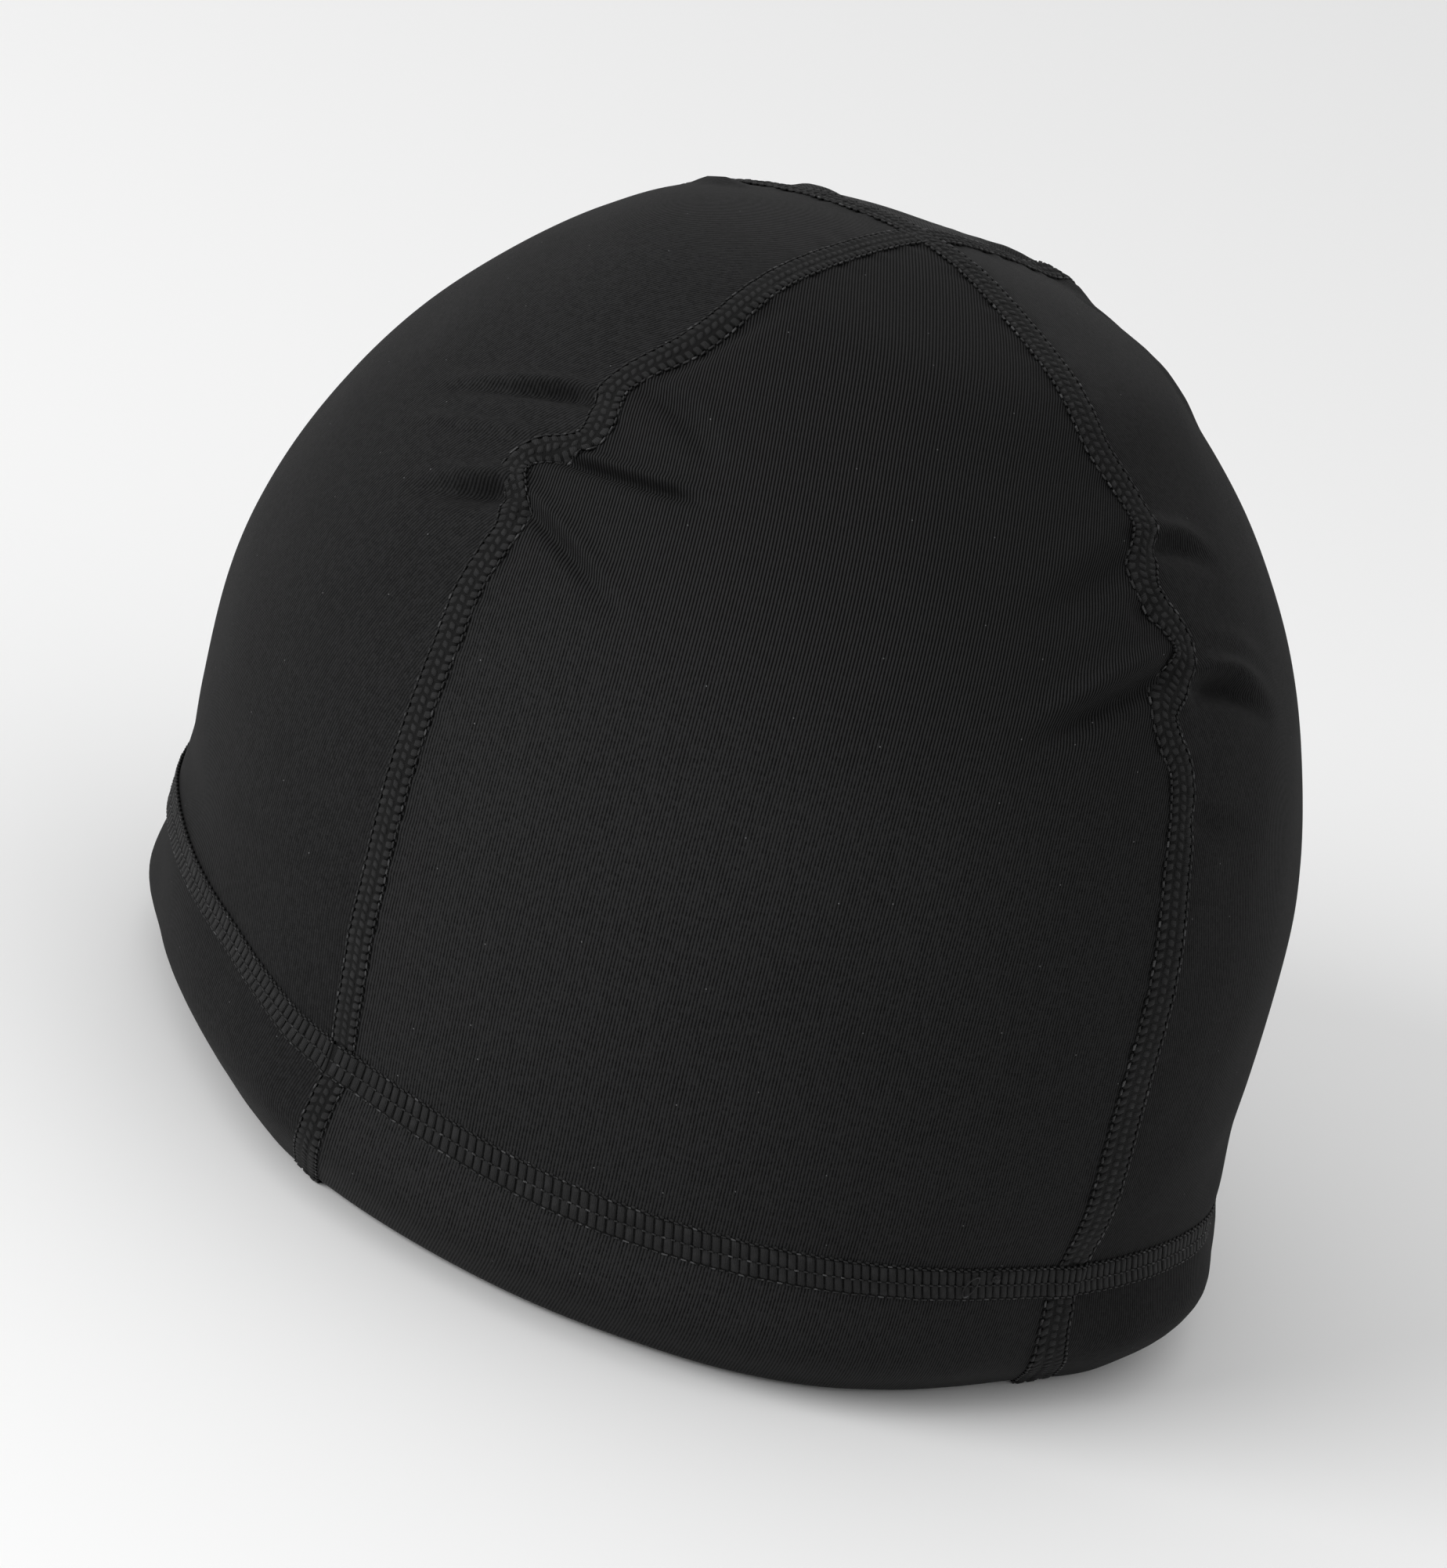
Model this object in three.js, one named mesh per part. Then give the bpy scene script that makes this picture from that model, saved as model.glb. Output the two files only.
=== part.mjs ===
// A close stretch knit cap, filled out as it sits when it is worn and resting on its hem.
//
// Four gores of knit cloth run from the hem to the crown. Each gore's lower edge is turned up inside, so
// the hem is two cloths thick, and a flat band of stitching holds the turning all the way round. The gores
// meet edge to edge under raised flatlock seams: one long seam runs from the front right over the crown to
// the back left, and the other two end against it at the crown.
//
// Lengths are millimetres and angles are degrees. +Z is up, the front is -Y and the right side is +X.
// An angle is 0 at the front and grows towards the right. The origin is under the middle of the hem.

import * as THREE from "three";

// Cloth and thread
const CLOTH = 1.2;
const HEM_CLOTH = 2 * CLOTH;
const GAP = 0.3;
const SEAM_HALF_WIDTH = 2.3;
const SEAM_THICK = 0.7;
const SEAM_THICK_UNDER_BAND = 0.4;
const BAND_THICK = 0.6;
const HEM_FOLD_RADIUS = 0.6;

// Level sections through the cap, from the hem to the crown. right and back say how far the middle of the
// section lies towards +X and +Y, because the cap leans a little to the left as it sits.
const SECTIONS = [
  { height: 0, halfWidth: 81, halfDepth: 89, right: 2.5, back: 1 },
  { height: 10, halfWidth: 88, halfDepth: 97, right: 2, back: 1 },
  { height: 23, halfWidth: 87, halfDepth: 95.7, right: 1.5, back: 1 },
  { height: 47, halfWidth: 88.1, halfDepth: 96.5, right: -1.6, back: -1 },
  { height: 73, halfWidth: 85.4, halfDepth: 94.5, right: -4.4, back: -3 },
  { height: 97, halfWidth: 77.5, halfDepth: 85.5, right: -5, back: -1.5 },
  { height: 116, halfWidth: 65.6, halfDepth: 72.5, right: -5.1, back: -0.5 },
  { height: 131, halfWidth: 51.2, halfDepth: 56, right: -5.7, back: 0.5 },
  { height: 142, halfWidth: 34.5, halfDepth: 36, right: -6, back: -0.5 },
  { height: 148, halfWidth: 0, halfDepth: 0, right: -6.5, back: 2 },
];
const BAND_SECTION = 2;
const SECTIONS_PER_MILLIMETRE = 1 / 18;
const CROWN_SECTION = SECTIONS.length - 1;

// How the rim departs from the even sections, by angle: how far it stands out at the hem, at the band of
// stitching and at the waist above it, and how far the band rises above its usual height.
const RIM = [
  { angle: -135, hem: 0.3, band: 0.2, waist: 0, rise: 1.5 },
  { angle: -97, hem: 1.5, band: 2, waist: -0.4, rise: 3.8 },
  { angle: -85, hem: -1, band: 2.2, waist: -0.4, rise: 4.3 },
  { angle: -65, hem: -1.5, band: 0.6, waist: 0, rise: 2.2 },
  { angle: -57, hem: -0.4, band: 0.6, waist: 0, rise: 0.7 },
  { angle: -50, hem: 0.9, band: 0.7, waist: 0, rise: -0.8 },
  { angle: -40, hem: 0.8, band: 0.5, waist: 0, rise: -1 },
  { angle: -15, hem: 0, band: 0.1, waist: 0, rise: -2.2 },
  { angle: 10, hem: 0.1, band: 0, waist: 0, rise: -0.8 },
  { angle: 27, hem: -1.9, band: -0.6, waist: 0, rise: 0.1 },
  { angle: 40, hem: -1.8, band: -1, waist: 0, rise: -0.4 },
  { angle: 52, hem: 1.4, band: 0.2, waist: 0, rise: -0.1 },
  { angle: 64, hem: 2, band: 0.5, waist: -1.2, rise: -0.3 },
  { angle: 75, hem: 0.6, band: -1.6, waist: -2.3, rise: -0.5 },
  { angle: 110, hem: 0.8, band: 0, waist: -0.5, rise: -0.5 },
  { angle: 150, hem: 0, band: 0, waist: 0, rise: 0 },
  { angle: 190, hem: 0, band: 0, waist: 0, rise: 0.5 },
];
const RIM_PLACES = { hem: 1, band: 2.15, waist: 2.7, none: 4 };

// The seams' angles, and how far each strays along the cloth, positive to the right on the front and left
// seams. The two front seams zigzag where the cloth bunches under the crown.
const SEAM_ANGLES = { frontLeft: -45, frontRight: 40, backRight: 133, backLeft: 224 };
const SEAM_WANDER = [
  { height: 0, frontLeft: -2.7, frontRight: 4.5, backRight: 1, backLeft: 0 },
  { height: 10, frontLeft: 1.4, frontRight: -3.3, backRight: 0.5, backLeft: 0.5 },
  { height: 18, frontLeft: 1.6, frontRight: -5.1, backRight: 0, backLeft: 0.5 },
  { height: 30, frontLeft: 1.5, frontRight: -4.2, backRight: 0, backLeft: 0 },
  { height: 54, frontLeft: 1.4, frontRight: -4, backRight: -1, backLeft: 1 },
  { height: 73, frontLeft: 0, frontRight: -1.8, backRight: 0, backLeft: 0.5 },
  { height: 88, frontLeft: -1.8, frontRight: -1.1, backRight: 1, backLeft: 0 },
  { height: 95, frontLeft: -3.4, frontRight: -0.3, backRight: 1.5, backLeft: -1 },
  { height: 101, frontLeft: -3.5, frontRight: -0.4, backRight: 1, backLeft: -2 },
  { height: 105, frontLeft: -3.8, frontRight: -2.9, backRight: 0, backLeft: -1.5 },
  { height: 108, frontLeft: -6.7, frontRight: -3.7, backRight: -1.5, backLeft: 0 },
  { height: 110, frontLeft: -9.1, frontRight: -2.4, backRight: -2, backLeft: 1 },
  { height: 112, frontLeft: -9.4, frontRight: 0.6, backRight: -1.5, backLeft: 2 },
  { height: 114, frontLeft: -7.4, frontRight: 2.5, backRight: 0, backLeft: 2 },
  { height: 116, frontLeft: -4, frontRight: 2.9, backRight: 1, backLeft: 1 },
  { height: 118, frontLeft: -2.1, frontRight: 1.4, backRight: 2, backLeft: 0 },
  { height: 120, frontLeft: -2.2, frontRight: -0.9, backRight: 2, backLeft: -1 },
  { height: 122, frontLeft: -3.4, frontRight: -2.4, backRight: 1, backLeft: -1 },
  { height: 124, frontLeft: -4.4, frontRight: -2.1, backRight: 0, backLeft: -0.5 },
  { height: 126, frontLeft: -4.1, frontRight: -0.4, backRight: -0.5, backLeft: 0 },
  { height: 129, frontLeft: -2.4, frontRight: 1, backRight: -1, backLeft: 0.5 },
  { height: 132, frontLeft: -0.6, frontRight: -0.6, backRight: -0.5, backLeft: 0.5 },
  { height: 137, frontLeft: 0.7, frontRight: -3.7, backRight: 0, backLeft: 0 },
  { height: 143, frontLeft: 0, frontRight: -2.4, backRight: 0, backLeft: 0 },
  { height: 148, frontLeft: 0, frontRight: 0, backRight: 0, backLeft: 0 },
];
const WANDER_REACH = 20;

// Folds where the cloth bunches at a seam. Each starts at the seam and fades out at its end: rise is how far
// its middle stands out, negative for a valley, step is how far the cloth stands out above its line and in
// below it, reach is how far to either side it is felt, and bow is how far it arches upwards halfway.
const FOLDS = [
  { height: 122.3, angle: -50.5, endHeight: 107, endAngle: -78, rise: -0.6, step: 1.1, reach: 2.4, bow: 2.3 },
  { height: 115, angle: -54, endHeight: 104, endAngle: -76, rise: 0.9, step: 0, reach: 3, bow: 0.7 },
  { height: 108.3, angle: -51, endHeight: 99.8, endAngle: -63, rise: -0.6, step: 1.1, reach: 2.6, bow: 0.5 },
  { height: 114.3, angle: -50, endHeight: 119, endAngle: -26, rise: -0.5, step: 0.8, reach: 2.2, bow: 0.4 },
  { height: 127, angle: -43.5, endHeight: 121.5, endAngle: -25, rise: -0.6, step: 0.6, reach: 3.2, bow: 1.6 },
  { height: 126.8, angle: 41.5, endHeight: 123, endAngle: 60, rise: -0.4, step: 1.1, reach: 2.6, bow: 1.4 },
  { height: 126.8, angle: 37, endHeight: 116, endAngle: 13, rise: -0.6, step: 0.6, reach: 4.5, bow: 0.9 },
  { height: 111.8, angle: 41, endHeight: 103.5, endAngle: 66, rise: -0.6, step: 1.2, reach: 3, bow: 3 },
  { height: 114, angle: 40.5, endHeight: 102.5, endAngle: 16, rise: -0.5, step: 1, reach: 2.6, bow: 1.6 },
  { height: 95.6, angle: 42, endHeight: 93, endAngle: 54, rise: -0.6, step: 0.6, reach: 3, bow: 0 },
  { height: 112, angle: 132, endHeight: 106, endAngle: 112, rise: -0.8, step: 0.8, reach: 3.4, bow: 1 },
  { height: 118, angle: 136, endHeight: 112, endAngle: 154, rise: -0.8, step: 0.8, reach: 3.4, bow: 1 },
  { height: 113, angle: 222, endHeight: 108, endAngle: 203, rise: -0.8, step: 0.9, reach: 3.4, bow: 1 },
  { height: 103, angle: 227, endHeight: 100, endAngle: 243, rise: -0.8, step: 0.7, reach: 3.4, bow: 1 },
];
const FOLD_STEPS = 8;
const FOLD_GROWS = { from: -0.25, to: 0.25 };
const FOLD_FADES = { from: 0.5, to: 1 };
const STEP_TO_SLOPE = 3.1;

// Where the mesh has its rows, counted in sections, and its columns, in millimetres from each seam.
const BAND_LOW_ROW = 1.8;
const BAND_HIGH_ROW = 2.2;
const HEM_TOP_ROW = 2.25;
const HEM_FOLD_ROW = 0.06;
const PRESSED_NEAR_BAND = 0.3;
const LIFTED_COLUMNS = 3;
const ROW_SPANS = [
  { from: 0.5, to: 1.2, steps: 1 },
  { from: BAND_LOW_ROW, to: BAND_HIGH_ROW, steps: 2 },
  { from: HEM_TOP_ROW, to: 2.6, steps: 1 },
  { from: 2.95, to: 4.7, steps: 5 },
  { from: 4.95, to: 7.2, steps: 15 },
  { from: 7.5, to: 8.7, steps: 4 },
  { from: 8.86, to: 8.95, steps: 1 },
];
const COLUMN_OFFSETS = [GAP / 2, SEAM_HALF_WIDTH, 6, 11, 18, 28];
const MIDDLE_COLUMNS = 3;
const COLUMNS_NEED_WIDTH = 2.6 * COLUMN_OFFSETS[COLUMN_OFFSETS.length - 1];
const COLUMN_COUNT = 2 * COLUMN_OFFSETS.length + MIDDLE_COLUMNS;
const LAST_SHORT_SEAM_ROW = 8.86;
const SEAM_WIDEST = 1.35;

// The gores, each from its left seam to its right, and the two beside each seam.
const GORES = {
  front: ["frontLeft", "frontRight"],
  right: ["frontRight", "backRight"],
  back: ["backRight", "backLeft"],
  left: ["backLeft", "frontLeft"],
};
const GORES_BESIDE = {
  frontLeft: [GORES.left, GORES.front],
  frontRight: [GORES.front, GORES.right],
  backRight: [GORES.right, GORES.back],
  backLeft: [GORES.back, GORES.left],
};

const radians = THREE.MathUtils.degToRad;

function catmullRom(before, from, to, after, t) {
  const curve = 2 * before - 5 * from + 4 * to - after;
  const twist = -before + 3 * from - 3 * to + after;
  return 0.5 * (2 * from + (to - before) * t + curve * t * t + twist * t * t * t);
}

// The section at any place along the cap, such as 2.5 for halfway between the third and fourth rows. Past
// the crown the cap comes down again on the other side, so there the widths count backwards.
function sectionAt(place) {
  const index = Math.min(Math.floor(place), CROWN_SECTION - 1);
  const t = place - index;
  const section = {};
  for (const column of Object.keys(SECTIONS[0])) {
    const values = SECTIONS.map((row) => row[column]);
    const mirrored = column.startsWith("half") ? -1 : 1;
    const before = index > 0 ? values[index - 1] : 2 * values[0] - values[1];
    const after = index + 2 <= CROWN_SECTION ? values[index + 2] : mirrored * values[CROWN_SECTION - 1];
    section[column] = catmullRom(before, values[index], values[index + 1], after, t);
  }
  return section;
}

function placeOfHeight(height) {
  let low = 0;
  let high = CROWN_SECTION;
  for (let turn = 0; turn < 40; turn += 1) {
    const middle = (low + high) / 2;
    if (sectionAt(middle).height < height) {
      low = middle;
    } else {
      high = middle;
    }
  }
  return (low + high) / 2;
}

// A smooth curve through a table's column, with the slope at each row taken from its two neighbours.
function readTable(rows, key, column, at) {
  let index = 0;
  while (index < rows.length - 2 && rows[index + 1][key] < at) {
    index += 1;
  }
  const slope = (k) => {
    const low = rows[Math.max(k - 1, 0)];
    const high = rows[Math.min(k + 1, rows.length - 1)];
    return (high[column] - low[column]) / (high[key] - low[key]);
  };
  const from = rows[index];
  const to = rows[index + 1];
  const span = to[key] - from[key];
  const t = THREE.MathUtils.clamp((at - from[key]) / span, 0, 1);
  const s = t * t * (3 - 2 * t);
  const bend = t * (1 - t) * ((1 - t) * slope(index) - t * slope(index + 1)) * span;
  return from[column] * (1 - s) + to[column] * s + bend;
}

// The rim's table goes round the cap, so it is read with its last row before and its first row after.
const RIM_ROUND = [
  ...RIM.slice(-2).map((row) => ({ ...row, angle: row.angle - 360 })),
  ...RIM,
  ...RIM.slice(0, 2).map((row) => ({ ...row, angle: row.angle + 360 })),
];

function readRim(column, angle) {
  return readTable(RIM_ROUND, "angle", column, angle > 200 ? angle - 360 : angle);
}

// How far the rim stands out at a place: it changes smoothly from the hem's row of the table to the
// band's, the waist's and then nothing.
function rimOut(place, angle) {
  const { hem, band, waist, none } = RIM_PLACES;
  const toBand = THREE.MathUtils.smoothstep(place, hem, band);
  const toWaist = THREE.MathUtils.smoothstep(place, band, waist);
  const toNone = THREE.MathUtils.smoothstep(place, waist, none);
  const lower = THREE.MathUtils.lerp(readRim("hem", angle), readRim("band", angle), toBand);
  return THREE.MathUtils.lerp(lower, readRim("waist", angle), toWaist) * (1 - toNone);
}

// The band's rise lifts the rows around it, and leaves the hem's edge on the level.
function riseWithBand(place, angle) {
  const share = place < BAND_SECTION
    ? THREE.MathUtils.smoothstep(place, 0, BAND_SECTION)
    : 1 - THREE.MathUtils.smoothstep(place, BAND_SECTION, BAND_SECTION + 2);
  return place + readRim("rise", angle) * share * SECTIONS_PER_MILLIMETRE;
}

function evenPoint(place, angle) {
  const section = sectionAt(place);
  const turn = radians(angle);
  const out = rimOut(place, angle);
  return new THREE.Vector3(
    section.right + (section.halfWidth + out) * Math.sin(turn),
    section.back - (section.halfDepth + out) * Math.cos(turn),
    section.height,
  );
}

// The way out of the cloth. On the hem it is level, so that the hem's edge is flat.
function outward(place, angle) {
  const step = 0.01;
  const low = evenPoint(Math.max(place - step, 0), angle);
  const high = evenPoint(Math.min(place + step, CROWN_SECTION - step), angle);
  const left = evenPoint(place, angle - 1);
  const right = evenPoint(place, angle + 1);
  const normal = right.sub(left).cross(high.sub(low)).normalize();
  const tilt = THREE.MathUtils.smoothstep(place, BAND_SECTION, BAND_SECTION + 1);
  normal.z *= tilt;
  return normal.normalize();
}

const foldLines = FOLDS.map((fold) => {
  const points = [];
  for (let step = 0; step <= FOLD_STEPS; step += 1) {
    const t = step / FOLD_STEPS;
    const height = THREE.MathUtils.lerp(fold.height, fold.endHeight, t) + fold.bow * 4 * t * (1 - t);
    points.push(evenPoint(placeOfHeight(height), THREE.MathUtils.lerp(fold.angle, fold.endAngle, t)));
  }
  return { ...fold, points };
});

// How far the folds lift the cloth at a point, from its distance to each fold's line and its height above it.
function foldsAt(point) {
  let lift = 0;
  const nearest = new THREE.Vector3();
  const line = new THREE.Line3();
  for (const fold of foldLines) {
    let distance = Infinity;
    let along = 0;
    let above = 0;
    for (let step = 0; step < FOLD_STEPS; step += 1) {
      line.set(fold.points[step], fold.points[step + 1]);
      const t = line.closestPointToPointParameter(point, true);
      line.at(t, nearest);
      const reach = nearest.distanceTo(point);
      if (reach < distance) {
        distance = reach;
        along = (step + t) / FOLD_STEPS;
        above = point.z - nearest.z;
      }
    }
    const grown = THREE.MathUtils.smoothstep(along, FOLD_GROWS.from, FOLD_GROWS.to);
    const faded = THREE.MathUtils.smoothstep(along, FOLD_FADES.from, FOLD_FADES.to);
    const across = distance / fold.reach;
    const height = fold.rise + fold.step * STEP_TO_SLOPE * above / fold.reach;
    lift += height * grown * (1 - faded) * Math.exp(-across * across);
  }
  return lift;
}

// A point of the cloth's outer face, or a distance outside it.
function clothPoint(place, angle, out) {
  const lifted = riseWithBand(place, angle);
  const even = evenPoint(lifted, angle);
  return even.clone().addScaledVector(outward(lifted, angle), foldsAt(even) + out);
}

function roundness(place) {
  const section = sectionAt(place);
  return (section.halfWidth + section.halfDepth) / 2;
}

// A seam's stray from its own angle, in degrees.
function strayOf(seam, place) {
  const stray = readTable(SEAM_WANDER, "height", seam, sectionAt(place).height);
  return THREE.MathUtils.radToDeg(stray / roundness(place));
}

function seamPoint(seam, place, beside, out) {
  const aside = THREE.MathUtils.radToDeg(beside / roundness(place));
  return clothPoint(place, SEAM_ANGLES[seam] + strayOf(seam, place) + aside, out);
}

// Where a seam slants, its level cut is wider, so that it keeps its width across the slant.
function seamHalfWidth(seam, place) {
  const step = 0.05;
  const low = seamPoint(seam, Math.max(place - step, 0), 0, 0);
  const high = seamPoint(seam, Math.min(place + step, CROWN_SECTION - step), 0, 0);
  const level = seamPoint(seam, place, 0.5, 0).sub(seamPoint(seam, place, -0.5, 0)).normalize();
  const slant = level.dot(high.sub(low).normalize());
  return SEAM_HALF_WIDTH * Math.min(1 / Math.sqrt(1 - slant * slant), SEAM_WIDEST);
}

// A closed body from rings of points, one ring to a station, all with the same count. A ring runs out
// along one face of the cloth and back along the other, so an open end is closed by a strip between them.
function loftedBody(rings, goesRound) {
  const count = rings[0].length;
  const positions = rings.flat().flatMap((point) => [point.x, point.y, point.z]);
  const faces = [];
  const joins = goesRound ? rings.length : rings.length - 1;
  for (let ring = 0; ring < joins; ring += 1) {
    const here = ring * count;
    const there = ((ring + 1) % rings.length) * count;
    for (let k = 0; k < count; k += 1) {
      const next = (k + 1) % count;
      faces.push(here + k, there + k, there + next);
      faces.push(here + k, there + next, here + next);
    }
  }
  const last = (rings.length - 1) * count;
  for (let k = 0; k < count / 2 - 1 && !goesRound; k += 1) {
    const back = count - 1 - k;
    faces.push(k, k + 1, back - 1);
    faces.push(k, back - 1, back);
    faces.push(last + k, last + back - 1, last + k + 1);
    faces.push(last + k, last + back, last + back - 1);
  }
  const geometry = new THREE.BufferGeometry();
  geometry.setAttribute("position", new THREE.Float32BufferAttribute(positions, 3));
  geometry.setIndex(faces);
  geometry.computeVertexNormals();
  return geometry;
}

function steps(from, to, count) {
  return Array.from({ length: count + 1 }, (_, k) => THREE.MathUtils.lerp(from, to, k / count));
}

const ROWS = ROW_SPANS.flatMap((span) => steps(span.from, span.to, span.steps));

// One gore's outline through the thickness of the cloth, as places along the cap and offsets outwards: up
// the outer face from the hem's rounded edge to the crown, then down the inner face and the turned-up hem.
function goreOutline() {
  const up = [{ place: 0, out: -HEM_FOLD_RADIUS }];
  const down = [{ place: 0, out: HEM_FOLD_RADIUS - HEM_CLOTH }];
  for (const place of [HEM_FOLD_ROW, ...ROWS]) {
    up.push({ place, out: 0 });
    down.push({ place, out: place > BAND_HIGH_ROW ? -CLOTH : -HEM_CLOTH });
  }
  return [...up, ...down.reverse()];
}

function goreWidth(leftSeam, rightSeam, place) {
  const turn = (SEAM_ANGLES[rightSeam] - SEAM_ANGLES[leftSeam] + 360) % 360;
  return radians(turn) * roundness(place);
}

// The columns' distances from one seam. The second lies under the seam's edge, and all of them draw
// together where the gore narrows to the crown.
function columnsBeside(seam, place, width) {
  const [edge, , ...others] = COLUMN_OFFSETS;
  const narrowing = Math.min(1, width / COLUMNS_NEED_WIDTH);
  return [edge, seamHalfWidth(seam, place), ...others.map((offset) => offset * narrowing)];
}

// The gore's columns at a place, as shares of its width from its left seam to its right seam.
function goreColumns(leftSeam, rightSeam, place) {
  const width = goreWidth(leftSeam, rightSeam, place);
  const left = columnsBeside(leftSeam, place, width).map((offset) => offset / width);
  const right = columnsBeside(rightSeam, place, width).map((offset) => 1 - offset / width).reverse();
  const middle = steps(left[left.length - 1], right[0], MIDDLE_COLUMNS + 1).slice(1, -1);
  return [...left, ...middle, ...right];
}

// A point of a gore, by its share of the way from the left seam to the right. Near a seam the cloth strays
// with it.
function gorePoint(leftSeam, rightSeam, place, share, out) {
  const width = goreWidth(leftSeam, rightSeam, place);
  const from = SEAM_ANGLES[leftSeam];
  const to = SEAM_ANGLES[rightSeam] + (SEAM_ANGLES[rightSeam] < from ? 360 : 0);
  const pull = (distance) => Math.exp(-((distance / WANDER_REACH) ** 2));
  const angle = THREE.MathUtils.lerp(from, to, share)
    + strayOf(leftSeam, place) * pull(share * width)
    + strayOf(rightSeam, place) * pull((1 - share) * width);
  return clothPoint(place, angle, out);
}

function goreBody(leftSeam, rightSeam) {
  const outline = goreOutline();
  const rings = Array.from({ length: COLUMN_COUNT }, (_, column) => outline.map(({ place, out }) => (
    gorePoint(leftSeam, rightSeam, place, goreColumns(leftSeam, rightSeam, place)[column], out)
  )));
  return loftedBody(rings, false);
}

// A seam lies on the joint between two gores. It is pressed thin where the band of stitching crosses it.
function seamRing(seam, place) {
  const [leftGore, rightGore] = GORES_BESIDE[seam];
  const beside = seamHalfWidth(seam, place);
  const pressed = Math.abs(place - BAND_SECTION) < PRESSED_NEAR_BAND;
  const top = GAP + (pressed ? SEAM_THICK_UNDER_BAND : SEAM_THICK);
  const left = (out) => gorePoint(...leftGore, place, 1 - beside / goreWidth(...leftGore, place), out);
  const right = (out) => gorePoint(...rightGore, place, beside / goreWidth(...rightGore, place), out);
  return [
    left(GAP),
    seamPoint(seam, place, 0, GAP),
    right(GAP),
    right(top),
    seamPoint(seam, place, 0, top),
    left(top),
  ];
}

function seamRings(seam, lastRow) {
  const rows = [HEM_FOLD_ROW, ...ROWS.filter((place) => place <= lastRow)];
  return rows.map((place) => seamRing(seam, place));
}

function shortSeamBody(seam) {
  return loftedBody(seamRings(seam, LAST_SHORT_SEAM_ROW), false);
}

// The long seam climbs from the front right, lies flat over the crown and goes down at the back left. On
// the far side its rings are turned over, so that left and right keep their sides along the whole way.
function longSeamBody() {
  const climb = seamRings("frontRight", LAST_SHORT_SEAM_ROW);
  const descent = seamRings("backLeft", LAST_SHORT_SEAM_ROW).map((ring) => {
    const [a, b, c, d, e, f] = ring;
    return [c, b, a, f, e, d];
  });
  const crown = climb[climb.length - 1].map((point, k) => {
    const top = point.clone().lerp(descent[descent.length - 1][k], 0.5);
    top.z = sectionAt(CROWN_SECTION).height + (k < 3 ? GAP : GAP + SEAM_THICK);
    return top;
  });
  return loftedBody([...climb, crown, ...descent.reverse()], false);
}

// The band of stitching goes all the way round on the gores' own columns, and rides over the seams.
function bandBody() {
  const overSeam = GAP + SEAM_THICK_UNDER_BAND;
  const rings = Object.values(GORES).flatMap((gore) => Array.from({ length: COLUMN_COUNT }, (_, column) => {
    const nearSeam = column < LIFTED_COLUMNS || column >= COLUMN_COUNT - LIFTED_COLUMNS;
    const under = GAP + (nearSeam ? overSeam : 0);
    const pointAt = (place, out) => gorePoint(...gore, place, goreColumns(...gore, place)[column], out);
    return [
      pointAt(BAND_LOW_ROW, under),
      pointAt(BAND_LOW_ROW, under + BAND_THICK),
      pointAt(BAND_SECTION, under + BAND_THICK),
      pointAt(BAND_HIGH_ROW, under + BAND_THICK),
      pointAt(BAND_HIGH_ROW, under),
      pointAt(BAND_SECTION, under),
    ];
  }));
  return loftedBody(rings, true);
}

function piece(name, geometry, colour, roughness) {
  const material = new THREE.MeshStandardMaterial({ color: colour, roughness, metalness: 0 });
  const mesh = new THREE.Mesh(geometry, material);
  mesh.name = name;
  return mesh;
}

const KNIT = { colour: 0x1d1d1e, roughness: 0.92 };
const THREAD = { colour: 0x262627, roughness: 0.8 };

const cap = new THREE.Group();
cap.add(
  piece("panel_front", goreBody(...GORES.front), KNIT.colour, KNIT.roughness),
  piece("panel_right", goreBody(...GORES.right), KNIT.colour, KNIT.roughness),
  piece("panel_back", goreBody(...GORES.back), KNIT.colour, KNIT.roughness),
  piece("panel_left", goreBody(...GORES.left), KNIT.colour, KNIT.roughness),
  piece("seam_over_crown", longSeamBody(), THREAD.colour, THREAD.roughness),
  piece("seam_front_left", shortSeamBody("frontLeft"), THREAD.colour, THREAD.roughness),
  piece("seam_back_right", shortSeamBody("backRight"), THREAD.colour, THREAD.roughness),
  piece("hem_stitch", bandBody(), THREAD.colour, THREAD.roughness),
);

export default cap;
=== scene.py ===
# %% [markdown]
# A close stretch knit cap, built the way it is sewn
#
# The real cap is four gores of fine black jersey. They meet edge to edge under raised flatlock seams, the
# hem is turned up inside, and a band of cover stitching holds the turning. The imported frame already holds
# the plain walls of these pieces. Here each one is made again as finer cloth and as real rows of stitches.

# %% Load the frame
import math

import bpy
import numpy as np
from mathutils import Matrix, Vector


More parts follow.
